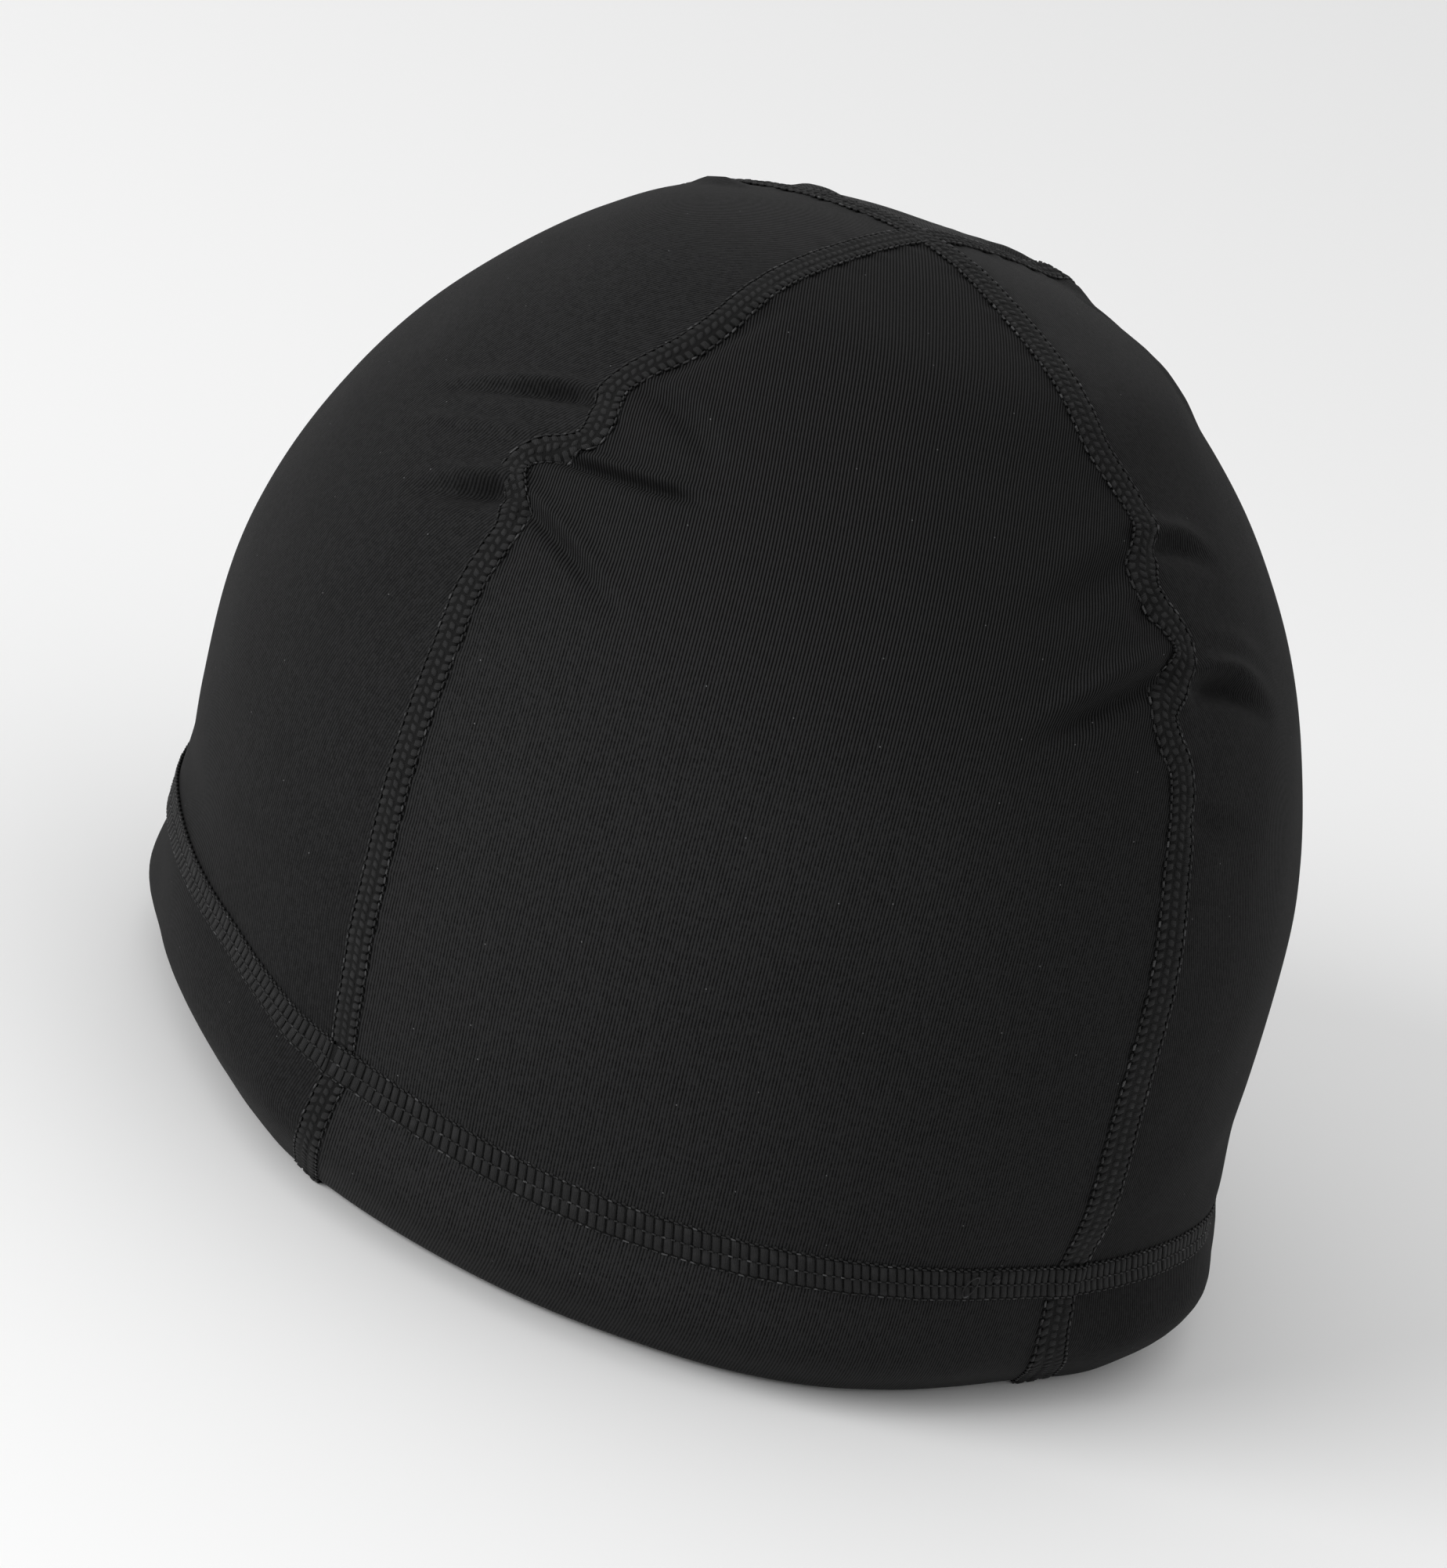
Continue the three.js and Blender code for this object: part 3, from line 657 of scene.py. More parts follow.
def puckers(along, from_seam, waves):
    height = sum(share * np.sin(2 * math.pi * along / pitch + phase) for pitch, share, phase in waves)
    return PUCKER_DEPTH * height * np.exp(-((from_seam / PUCKER_REACH) ** 2))


print("width of the front gore at the hem, mm:", round(float(gore_width(*GORES["panel_front"], HEM_PLACE))))

# %% [markdown]
# A grid primitive gives the rows and columns. They are laid on the path, the flat position and the painted
# fold shade are stored, and Solidify makes the wall. The sheet's flat size is measured along the finished
# cloth.

# %% Lay the gores
GORE_COLUMNS = 124
GORE_ROWS = 236
COLUMNS_CLOSER_AT_SEAMS = 0.6


def make_gore(name, left_seam, right_seam):
    places, outs, _ = hem_and_wall(GORE_TOP_PLACE)
    middle = SEAM_ANGLES[left_seam] + gore_turn(left_seam, right_seam) / 2
    path_length = length_along(cloth_point(places, np.full(len(places), middle), outs))

    bpy.ops.object.select_all(action="DESELECT")
    bpy.ops.mesh.primitive_grid_add(x_subdivisions=GORE_COLUMNS, y_subdivisions=GORE_ROWS, size=1)
    gore = bpy.context.object
    gore.name = name + "_knit"
    flat = get_points(gore)
    share = flat[:, 0] + 0.5
    share = share - COLUMNS_CLOSER_AT_SEAMS * np.sin(2 * math.pi * share) / (2 * math.pi)
    along = even_to_closer(flat[:, 1] + 0.5, places, path_length)
    place = np.interp(along, path_length, places)
    width = gore_width(left_seam, right_seam, place)
    share = SEAM_GAP / width + share * (1 - 2 * SEAM_GAP / width)
    angle = gore_angle(left_seam, right_seam, place, share)

    puckered = puckers(along, share * width, PUCKERS_AT_LEFT_SEAM)
    puckered = puckered + puckers(along, (1 - share) * width, PUCKERS_AT_RIGHT_SEAM)
    out = np.interp(along, path_length, outs) + puckered * smooth_step(place, BAND, BAND + 1)
    set_points(gore, cloth_point(place, angle, out) * MM)
    keep_flat_position(gore, np.stack([np.radians(angle - middle) * roundness(place), along], -1))
    # Painted shade in the folds, stored for the finish.
    _, painted_fold_shade = folds_at(even_point(rise_with_band(place, angle), angle))
    mark_points(gore, "painted_fold_shade", painted_fold_shade)
    apply_modifier(gore, "SOLIDIFY", thickness=CLOTH * MM, offset=-1)
    bpy.ops.object.shade_smooth()
    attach(gore, "root")
    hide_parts(name)
    return gore


gores = [make_gore(name, *seams) for name, seams in GORES.items()]

# %% [markdown]
# Laying stitches along a path
#
# A seam's path has a middle line on the cloth, the way out of the cloth, and the way across the seam. A flat
# row of stitches is bent along it. A Curve modifier could bend it too, but it would not sink into the folds,
# so they are read again at each stitch and the row follows the cloth.

# %% Paths for the stitching
SMOOTHED_ROWS = 4
FLOOR_CLEARANCE = 0.03


def smoothed(rows):
    """Each row as the mean of itself and its neighbours, so that stitches spread out round a sharp bend."""
    before, after = [rows[:1]] * SMOOTHED_ROWS, [rows[-1:]] * SMOOTHED_ROWS
    padded = np.vstack([*before, rows, *after])
    window = 2 * SMOOTHED_ROWS + 1
    return sum(padded[k : k + len(rows)] for k in range(window)) / window


def side_of(place, angle, travel, climb):
    """The way across a path within the cloth: up it for the band, round the cap for a seam."""
    place_step, angle_step = (NEIGHBOUR_PLACE, 0) if climb else (0, NEIGHBOUR_ANGLE / 2)
    high, low = ((place + s * place_step, angle + s * angle_step) for s in (1, -1))
    side = even_point(rise_with_band(*high), high[1]) - even_point(rise_with_band(*low), low[1])
    return unit(side - (side * travel).sum(-1, keepdims=True) * travel)


def make_path(place, angle, out, turned, climb):
    """A path on the cloth. climb says how many sections a millimetre across the path rises."""
    lifted = rise_with_band(place, angle)
    even = even_point(lifted, angle)
    cloth_out = outward(lifted, angle)
    middle = even + cloth_out * (relief(even, place) + out)[:, None]
    travel = unit(np.gradient(middle, axis=0))
    return {
        "along": length_along(middle),
        "middle": middle,
        "way_out": -cloth_out * np.cos(turned)[:, None] - np.array([0, 0, 1]) * np.sin(turned)[:, None],
        "across": unit(smoothed(side_of(place, angle, travel, climb))),
        "even": even,
        "cloth_out": cloth_out,
        "place": place,
        "climb": climb,
    }


def lay_along(piece, path, flat):
    """Bends a flat piece along a path: x across it, y along it, z away from the cloth."""
    def at(name):
        values = path[name]
        return np.stack([np.interp(flat[:, 1], path["along"], values[:, k]) for k in range(3)], -1)

    place = np.interp(flat[:, 1], path["along"], path["place"])
    even, across = at("even"), unit(at("across"))
    beside = relief(even + across * flat[:, :1], place + path["climb"] * flat[:, 0])
    change = beside - relief(even, place)
    points = at("middle") + across * flat[:, :1] + unit(at("way_out")) * flat[:, 2:]
    points += at("cloth_out") * change[:, None]
    points[:, 2] = np.maximum(points[:, 2], FLOOR_CLEARANCE)
    set_points(piece, points * MM)


# %% [markdown]
# One stitch at a time
#
# Seen close, flatlock and cover stitching are little pillows of thread: each is a bundle of soft filaments
# crossing between two rows of needle holes. One pillow is a cube with its edges bevelled until it is round.
# The needle's own thread shows as short dashes along the edges of a seam, and where the band's two rows
# meet. A narrow tape of thread lies under the pillows, so that no cloth shows between them. The tape takes
# the pillows' painted foot shade, so it shows as near-black shade between them.

# %% Stitch parts
COVER, NEEDLE = 0, 1
THREADS = [bpy.data.materials.new(name) for name in ("cover_thread", "needle_thread")]
PILLOW_RISE = 0.3
# The tape's lift lies below the pillows' foot, so it is painted fully in their dark shade tone.
TAPE_SHADE_LIFT = 0.5
TAPE_COLUMNS = 4
TAPE_ROW = 1.2
TAPE_SINK = 1.3


def add_pillow(across, along, width, length, height, slant, thread, rounding):
    """A rounded block of thread, in its place in a stitch. lift is 0 at its foot and 1 at its top."""
    bpy.ops.object.select_all(action="DESELECT")
    bpy.ops.mesh.primitive_cube_add(size=1)
    pillow = bpy.context.object
    bpy.ops.object.mode_set(mode="EDIT")
    bpy.ops.mesh.select_all(action="SELECT")
    bpy.ops.transform.resize(value=(width, length, height))
    bpy.ops.mesh.bevel(offset=rounding * min(width, length), segments=1, affect="EDGES")
    bpy.ops.object.mode_set(mode="OBJECT")
    points = get_points(pillow)
    points[:, 1] += slant * points[:, 0]
    mark_points(pillow, "lift", points[:, 2] / height + 0.5)
    points += (across, along, height * PILLOW_RISE)
    set_points(pillow, points)
    pillow.data.materials.append(THREADS[thread])
    return pillow


def add_tape(width, length, thickness):
    """The flat tape of thread under the stitches, painted in the dark shade of the pillows' feet."""
    rows = int(length / TAPE_ROW)
    bpy.ops.object.select_all(action="DESELECT")
    bpy.ops.mesh.primitive_grid_add(x_subdivisions=TAPE_COLUMNS, y_subdivisions=rows, size=1)
    tape = bpy.context.object
    points = get_points(tape)
    points[:, 0] *= width
    points[:, 1] = (points[:, 1] + 0.5) * length
    points[:, 2] = thickness
    set_points(tape, points)
    tape.data.materials.append(THREADS[COVER])
    mark_points(tape, "lift", TAPE_SHADE_LIFT)
    apply_modifier(tape, "SOLIDIFY", thickness=thickness * TAPE_SINK, offset=-1)
    return tape


def join(pieces, name):
    bpy.ops.object.select_all(action="DESELECT")
    for piece in pieces:
        piece.select_set(True)
    bpy.context.view_layer.objects.active = pieces[0]
    bpy.ops.object.join()
    pieces[0].name = name
    return pieces[0]


def repeat_stitch(stitch, pitch, count):
    apply_modifier(
        stitch, "ARRAY", count=count, use_relative_offset=False,
        use_constant_offset=True, constant_offset_displace=(0, pitch, 0),
    )


def keep_flat(piece):
    """The piece's flat points, which are stored as its UV map before it is laid."""
    flat = get_points(piece)
    keep_flat_position(piece, flat)
    return flat


# %% [markdown]
# The flatlock seams
#
# Three columns of pillows lie side by side, with a dark line of needle holes between them and a row of needle
# dashes along each edge. Real stitches are never quite alike, so each one is shifted and swollen a little by
# numbers from a seeded generator.

# %% Flatlock stitch
SEAM_WIDTH = 4.6
SEAM_PITCH = 1.4
SEAM_HEIGHT = 0.62
SEAM_SHIFT, SEAM_SWELL = 0.05, 0.12
COLUMN_WIDTH, COLUMN_LENGTH = 1.3, 1.24
COLUMN_STEP = COLUMN_WIDTH + 0.17
SEAM_EDGE = SEAM_WIDTH / 2
FLATLOCK_STITCH = [
    # across, along, width, length, height, slant, thread, rounding
    (-COLUMN_STEP, 0, COLUMN_WIDTH, COLUMN_LENGTH, SEAM_HEIGHT, 0.35, COVER, 0.26),
    (0, 0.45, COLUMN_WIDTH, COLUMN_LENGTH, SEAM_HEIGHT * 1.05, -0.35, COVER, 0.26),
    (COLUMN_STEP, 0.1, COLUMN_WIDTH, COLUMN_LENGTH, SEAM_HEIGHT, 0.15, COVER, 0.26),
    (-SEAM_EDGE, 0.3, 0.3, 0.9, 0.5, 0.6, NEEDLE, 0.26),
    (SEAM_EDGE, 0.5, 0.3, 0.9, 0.5, -0.6, NEEDLE, 0.26),
]
rng = np.random.default_rng(7)


def vary_stitches(flat, pitch, shift, swell):
    """Shifts each stitch along and across, and swells or flattens it."""
    number = np.clip(np.round(flat[:, 1] / pitch).astype(int), 0, None)
    count = number.max() + 1
    moved = flat.copy()
    moved[:, 0] += rng.uniform(-shift, shift, count)[number]
    moved[:, 1] += rng.uniform(-shift, shift, count)[number]
    moved[:, 2] *= rng.uniform(1 - swell, 1 + swell, count)[number]
    return moved


print("a flatlock stitch has", len(FLATLOCK_STITCH), "parts,", SEAM_PITCH, "mm apart")

# %% [markdown]
# A seam starts inside at the raw edge of the turned hem, because it was sewn before the hem was turned. It
# goes round the fold and up to the crown. One seam runs on over the crown and down the other side, where a
# smooth curve bridges the two halves of its path.

# %% Paths of the seams
SHORT_SEAM_TOP = CROWN - 0.06
BRIDGE_PLACE = CROWN - 0.3
BRIDGE_ROWS = 24


def climb_path(seam, top_place):
    place, out, turned = hem_and_wall(top_place)
    return make_path(place, seam_angle(seam, place), out, turned, 0)


def path_over_crown(first, second):
    """One path up one seam, over the crown and down another."""
    up = climb_path(first, BRIDGE_PLACE)
    down = climb_path(second, BRIDGE_PLACE)
    down["across"] = -down["across"]
    reach = np.linalg.norm(up["middle"][-1] - down["middle"][-1])
    scale = reach / np.linalg.norm(up["middle"][-1] - up["middle"][-2])
    t = np.linspace(0, 1, BRIDGE_ROWS + 2)[1:-1, None]
    path = {"climb": 0}
    for name in ("middle", "even", "way_out", "cloth_out", "across"):
        start, end = up[name][-1], down[name][-1]
        leaving = (start - up[name][-2]) * scale
        arriving = (down[name][-2] - end) * scale
        bridge = start * (1 + 2 * t) * (1 - t) ** 2 + end * t**2 * (3 - 2 * t)
        bridge = bridge + leaving * t * (1 - t) ** 2 - arriving * t**2 * (1 - t)
        path[name] = np.vstack([up[name], bridge, down[name][::-1]])
    path["place"] = np.concatenate([up["place"], np.full(BRIDGE_ROWS, BRIDGE_PLACE), down["place"][::-1]])
    path["along"] = length_along(path["middle"])
    return path


SEAM_PATHS = {
    "seam_over_crown": path_over_crown("front_right", "back_left"),
    "seam_front_left": climb_path("front_left", SHORT_SEAM_TOP),
    "seam_back_right": climb_path("back_right", SHORT_SEAM_TOP),
}
print("seam lengths, mm:", {name: round(path["along"][-1]) for name, path in SEAM_PATHS.items()})

# %% [markdown]
# The long seam is broader than the other two, most of all at the sides. Where the band crosses a seam, the
# seam is pressed flat. Both are changes of the flat row, made before it is laid.

# %% Lay the seams
SEAM_SPREAD = {"seam_over_crown": 1.38, "seam_front_left": 1, "seam_back_right": 1}
CROWN_SHARE = 0.5
CROWN_BEGINS = (4.2, 5.4)
PRESSED_SHARE = 0.45
PRESSED_REACH = 0.2
TAPE_WIDTH = SEAM_WIDTH - 0.9
TAPE_THICKNESS = 0.3


def fit_to_cap(flat, path, spread):
    """Spreads a flat row, fully at the sides of the cap and half at the crown, and presses it at the band."""
    place = np.interp(flat[:, 1], path["along"], path["place"])
    flat = flat.copy()
    flat[:, 0] *= 1 + (spread - 1) * (1 - CROWN_SHARE * smooth_step(place, *CROWN_BEGINS))
    flat[:, 2] *= 1 - PRESSED_SHARE * np.exp(-(((place - BAND) / PRESSED_REACH) ** 4))
    return flat


def make_seam(name, path):
    length = path["along"][-1]
    count = int(length / SEAM_PITCH)
    stitch = join([add_pillow(*part) for part in FLATLOCK_STITCH], "flatlock_stitch")
    repeat_stitch(stitch, length / count, count)
    flat = vary_stitches(keep_flat(stitch), length / count, SEAM_SHIFT, SEAM_SWELL)
    lay_along(stitch, path, fit_to_cap(flat, path, SEAM_SPREAD[name]))
    tape = add_tape(TAPE_WIDTH, length, TAPE_THICKNESS)
    lay_along(tape, path, fit_to_cap(keep_flat(tape), path, SEAM_SPREAD[name]))
    seam = join([stitch, tape], name + "_thread")
    bpy.ops.object.shade_smooth()
    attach(seam, "root")
    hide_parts(name)
    print(name, round(length), "mm,", count, "stitches,", triangles_of(seam), "triangles")
    return seam


seams = [make_seam(name, path) for name, path in SEAM_PATHS.items()]

# %% [markdown]
# The band round the hem
#
# Cover stitching has two rows of tall pillows standing on end, with a needle stitch where they meet and a
# thin thread along each edge. It goes all the way round. The stitches lean to one side by an amount that
# changes round the cap, and a short table says how far.

# %% Cover stitching
BAND_PITCH = 1.42
BAND_SHIFT, BAND_SWELL = 0.05, 0.1
BAND_ROWS = 1441
UPPER_HEIGHT, LOWER_HEIGHT = 2.55, 2.35
BAND_THICK = 0.64
MEETING_OVERLAP = 0.08
COVER_STITCH = [
    # across, along, width, length, height, slant, thread, rounding
    (UPPER_HEIGHT / 2 - MEETING_OVERLAP, 0, UPPER_HEIGHT, 1.3, BAND_THICK, 0, COVER, 0.19),
    (-LOWER_HEIGHT / 2 + MEETING_OVERLAP, 0, LOWER_HEIGHT, 1.3, BAND_THICK, 0, COVER, 0.19),
    (0, BAND_PITCH / 2, 0.22, 0.7, BAND_THICK * 1.25, 0.3, NEEDLE, 0.26),
    (UPPER_HEIGHT + 0.05, 0.4, 0.26, 0.7, 0.6, 0.5, NEEDLE, 0.26),
    (UPPER_HEIGHT + 0.25, -0.3, 0.45, 0.7, 0.46, 0, COVER, 0.26),
    (-LOWER_HEIGHT - 0.1, 0.4, 0.22, 0.9, 0.55, 0, NEEDLE, 0.26),
]
BAND_LEAN = np.array([
    # angle, and how far the top of a stitch leans to the left for each millimetre up
    (-180, 0),
    (-110, -0.3),
    (-60, -0.35),
    (-45, -0.1),
    (-28, 0.2),
    (0, 0.25),
    (20, 0.35),
    (40, 0.45),
    (60, 0.5),
    (100, 0.2),
    (180, 0),
], float)


def band_path():
    """Round the cap from the front left seam to itself, clockwise as seen from above."""
    start = SEAM_ANGLES["front_left"]
    angle = np.linspace(start + 360, start, BAND_ROWS)
    place = np.full(BAND_ROWS, float(BAND))
    path = make_path(place, angle, np.zeros(BAND_ROWS), np.full(BAND_ROWS, math.pi), SECTIONS_PER_MM_AT_BAND)
    path["angle"] = angle
    return path


def lean_stitches(flat, path):
    angle = np.interp(flat[:, 1], path["along"], path["angle"])
    angle = np.where(angle > 180, angle - 360, angle)
    flat = flat.copy()
    flat[:, 1] += flat[:, 0] * read_table(BAND_LEAN[:, 0], BAND_LEAN[:, 1], angle)
    return flat


BAND_PATH = band_path()
print("the band is", round(BAND_PATH["along"][-1]), "mm round")

# %% [markdown]
# The band begins and ends at the front right, where the thread is left as a small loop and a knot. A torus
# is drawn out and twisted for the loop, and a sphere with a wave along each axis makes the knot. Both are
# laid on the band's path like the stitches, so they stand on the cloth.

# %% Loose thread
LOOP_ANGLE, KNOT_ANGLE = 23.8, 26.6
LOOP_RADIUS = 1.0
LOOP_STRETCH = 1.7
LOOP_LEAN = -0.5
LOOP_TAPER = 0.35
LOOP_TWIST = 0.3
LOOP_CLEARANCE = 0.2
LOOSE_THREAD_RADIUS = 0.1
KNOT_RADIUS = 0.6
KNOT_ROUGHNESS = 0.1
KNOT_WAVES = (13, 17, 11)


def lay_loose(piece, path, middle_angle):
    """Lays a loose bit of thread on the band at an angle round the cap."""
    flat = keep_flat(piece)
    mark_points(piece, "lift", 1)
    piece.data.materials.append(THREADS[NEEDLE])
    flat[:, 1] += np.interp(-middle_angle, -path["angle"], path["along"])
    lay_along(piece, path, flat)
    return piece


def add_loose_loop(path):
    """The needle thread's end, left as a loop standing off the cloth."""
    bpy.ops.object.select_all(action="DESELECT")
    bpy.ops.mesh.primitive_torus_add(
        major_radius=LOOP_RADIUS, minor_radius=LOOSE_THREAD_RADIUS, major_segments=36, minor_segments=6,
    )
    loop = bpy.context.object
    x, y, z = get_points(loop).T
    along = y * (1 + LOOP_TAPER * x) + LOOP_LEAN * x
    height = z + LOOP_TWIST * x * y + BAND_THICK + LOOP_CLEARANCE
    set_points(loop, np.stack([LOOP_STRETCH * x, along, height], -1))
    return lay_loose(loop, path, LOOP_ANGLE)


def add_knot(path):
    """The knot beside the loop."""
    bpy.ops.object.select_all(action="DESELECT")
    bpy.ops.mesh.primitive_ico_sphere_add(subdivisions=4, radius=KNOT_RADIUS)
    knot = bpy.context.object
    points = get_points(knot)
    rough = sum(np.sin(points[:, k] * turns + k) for k, turns in enumerate(KNOT_WAVES))
    points *= (1 + KNOT_ROUGHNESS * rough)[:, None]
    points += (UPPER_HEIGHT / 2, 0, BAND_THICK)
    set_points(knot, points)
    return lay_loose(knot, path, KNOT_ANGLE)


print("the loop stands at", LOOP_ANGLE, "degrees and the knot at", KNOT_ANGLE)

# %% [markdown]
# The band rides over the four seams. One stitch is repeated round the whole path, varied, leaned, lifted at
# the seams and then laid. Its tape and the loose thread are joined to it, so that the band is one piece.

# %% Lay the band
SEAM_RIDE = 0.5
RIDE_NEAR, RIDE_FAR = 2.0, 4.2
BAND_TAPE_THICKNESS = 0.25


def over_seams(flat, path):
    """Lifts the band where it rides over a seam."""
    crossings = even_point(BAND, np.array(SEAMS_AT_BAND))
    middle = np.stack([np.interp(flat[:, 1], path["along"], path["middle"][:, k]) for k in range(2)], -1)
    flat = flat.copy()
    for crossing in crossings:
        distance = np.linalg.norm(middle - crossing[:2], axis=1)
        flat[:, 2] += SEAM_RIDE * (1 - smooth_step(distance, RIDE_NEAR, RIDE_FAR))
    return flat


def make_band(path):
    length = path["along"][-1]
    count = int(length / BAND_PITCH)
    stitch = join([add_pillow(*part) for part in COVER_STITCH], "cover_stitch")
    repeat_stitch(stitch, length / count, count)
    flat = vary_stitches(keep_flat(stitch), length / count, BAND_SHIFT, BAND_SWELL)
    lay_along(stitch, path, over_seams(lean_stitches(flat, path), path))
    tape = add_tape(UPPER_HEIGHT + LOWER_HEIGHT, length, BAND_TAPE_THICKNESS)
    lay_along(tape, path, over_seams(keep_flat(tape), path))
    band = join([stitch, tape, add_loose_loop(path), add_knot(path)], "hem_stitch_thread")
    bpy.ops.object.shade_smooth()
    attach(band, "root")
    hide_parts("hem_stitch")
    print("band", round(length), "mm,", count, "stitches,", triangles_of(band), "triangles")
    return band


band = make_band(BAND_PATH)

# %% [markdown]
# Finishes
#
# Every finish is a Principled shader whose colour is built from a few numbers over the surface, so short
# helpers add the nodes. Each helper takes plain numbers or the sockets of other nodes.

# %% Helpers for shader nodes
def put(tree, socket, value):
    if isinstance(value, bpy.types.NodeSocket):
        tree.links.new(value, socket)
    else:
        socket.default_value = value


def math_node(tree, operation, *values):
    node = tree.nodes.new("ShaderNodeMath")
    node.operation = operation
    for socket, value in zip(node.inputs, values):
        put(tree, socket, value)
    return node.outputs[0]


def multiply(tree, first, *others):
    for other in others:
        first = math_node(tree, "MULTIPLY", first, other)
    return first


def centred(tree, value):
    """A value from 0 to 1, shifted to run from -0.5 to 0.5."""
    return math_node(tree, "SUBTRACT", value, 0.5)


def wave(tree, turns):
    """A wave from 0 to 1, at its top at each whole turn."""
    cosine = math_node(tree, "COSINE", multiply(tree, turns, 2 * math.pi))
    return math_node(tree, "MULTIPLY_ADD", cosine, 0.5, 0.5)


def noise(tree, vector, scale, detail=2.0):
    node = tree.nodes.new("ShaderNodeTexNoise")
    put(tree, node.inputs["Vector"], vector)
    node.inputs["Scale"].default_value = scale
    node.inputs["Detail"].default_value = detail
    return node.outputs["Fac"]


def between(tree, value, low, high, at_low, at_high, interpolation="SMOOTHSTEP"):
    """A change from one number to another while a value runs from low to high."""
    node = tree.nodes.new("ShaderNodeMapRange")
    node.interpolation_type = interpolation
    put(tree, node.inputs["Value"], value)
    for name, number in (("From Min", low), ("From Max", high), ("To Min", at_low), ("To Max", at_high)):
        node.inputs[name].default_value = number
    return node.outputs["Result"]


def mix_numbers(tree, share, low, high):
    return between(tree, share, 0, 1, low, high, "LINEAR")


def new_group(name, inputs, outputs):
    group = bpy.data.node_groups.new(name, "ShaderNodeTree")
    for socket_name, kind in inputs:
        group.interface.new_socket(socket_name, in_out="INPUT", socket_type=kind)
    for socket_name, kind in outputs:
        group.interface.new_socket(socket_name, in_out="OUTPUT", socket_type=kind)
    return group, group.nodes.new("NodeGroupInput"), group.nodes.new("NodeGroupOutput")


# %% [markdown]
# Knit
#
# Black cloth is not one black. Jersey has fine upright ribs, the wales, with a dark line between them. The
# wales follow the gore's cut, so the pattern reads the flat position. A picture of knit would need a texture
# file and would repeat, so a cosine makes the ribs and a random tone marks each stitch. The same pattern
# drives the bump, so ribs shade as well as change colour.

# %% Knit pattern
WALE, COURSE = 0.53, 0.6
WALE_WOBBLE = 0.14
WALE_WOBBLE_SCALE = 260


def knit_group():
    """Upright ribs. Rib is 1 on a rib and 0 between two, and Stitch is each stitch's own tone."""
    tree, entry, leave = new_group(
        "knit_pattern",
        [("Flat", "NodeSocketVector"), ("Wale", "NodeSocketFloat"), ("Course", "NodeSocketFloat")],
        [("Rib", "NodeSocketFloat"), ("Stitch", "NodeSocketFloat")],
    )
    split = tree.nodes.new("ShaderNodeSeparateXYZ")
    tree.links.new(entry.outputs["Flat"], split.inputs[0])
    wobble = noise(tree, entry.outputs["Flat"], WALE_WOBBLE_SCALE)
    wobble = multiply(tree, centred(tree, wobble), WALE_WOBBLE)
    ribs = math_node(tree, "DIVIDE", multiply(tree, split.outputs["X"], 1 / MM), entry.outputs["Wale"])
    ribs = math_node(tree, "ADD", ribs, wobble)
    rows = math_node(tree, "DIVIDE", multiply(tree, split.outputs["Y"], 1 / MM), entry.outputs["Course"])
    tree.links.new(wave(tree, ribs), leave.inputs["Rib"])
    number = tree.nodes.new("ShaderNodeCombineXYZ")
    tree.links.new(math_node(tree, "ROUND", ribs), number.inputs["X"])
    tree.links.new(math_node(tree, "ROUND", rows), number.inputs["Y"])
    own = tree.nodes.new("ShaderNodeTexWhiteNoise")
    own.noise_dimensions = "2D"
    tree.links.new(number.outputs[0], own.inputs["Vector"])
    tree.links.new(own.outputs["Value"], leave.inputs["Stitch"])
    return tree


KNIT_PATTERN = knit_group()
print("ribs over the front gore:", round(float(gore_width(*GORES["panel_front"], HEM_PLACE)) / WALE))

# %% [markdown]
# Lint and tones
#
# Lint is a few pale specks. A flat Voronoi pattern gives scattered centres, and only some of them are
# painted. A grey mix blends two tones, numbers or colours from other nodes, and a grey has a trace of blue.

# %% Greys, lint and bump
BLACK = (0.02, 0.02, 0.02)
BLUE_TRACE = 1.02
MIX_COLOUR_A, MIX_COLOUR_B, MIX_COLOUR_RESULT = 6, 7, 2
LINT_CELLS = 85
LINT_RADIUS = 0.009
LINT_SHARE = 0.4


def flat_position(tree):
    uv = tree.nodes.new("ShaderNodeUVMap")
    uv.uv_map = "flat"
    return uv.outputs["UV"]


def object_position(tree):
    return tree.nodes.new("ShaderNodeTexCoord").outputs["Object"]


def point_value(tree, name):
    attribute = tree.nodes.new("ShaderNodeAttribute")
    attribute.attribute_name = name
    return attribute.outputs["Fac"]


def grey(value):
    return (value, value, value * BLUE_TRACE, 1) if isinstance(value, float) else value


def grey_mix(tree, factor, low, high):
    node = tree.nodes.new("ShaderNodeMix")
    node.data_type = "RGBA"
    put(tree, node.inputs["Factor"], factor)
    put(tree, node.inputs[MIX_COLOUR_A], grey(low))
    put(tree, node.inputs[MIX_COLOUR_B], grey(high))
    return node.outputs[MIX_COLOUR_RESULT]


def lint_mask(tree):
    cells = tree.nodes.new("ShaderNodeTexVoronoi")
    cells.voronoi_dimensions = "2D"
    put(tree, cells.inputs["Vector"], flat_position(tree))
    cells.inputs["Scale"].default_value = LINT_CELLS
    near = math_node(tree, "LESS_THAN", cells.outputs["Distance"], LINT_RADIUS)
    chosen = tree.nodes.new("ShaderNodeSeparateColor")
    tree.links.new(cells.outputs["Color"], chosen.inputs[0])
    return multiply(tree, near, math_node(tree, "LESS_THAN", chosen.outputs[0], LINT_SHARE))


def add_bump(tree, shader, height, distance, strength):
    bump = tree.nodes.new("ShaderNodeBump")
    bump.inputs["Distance"].default_value = distance
    bump.inputs["Strength"].default_value = strength
    tree.links.new(height, bump.inputs["Height"])
    tree.links.new(bump.outputs["Normal"], shader.inputs["Normal"])
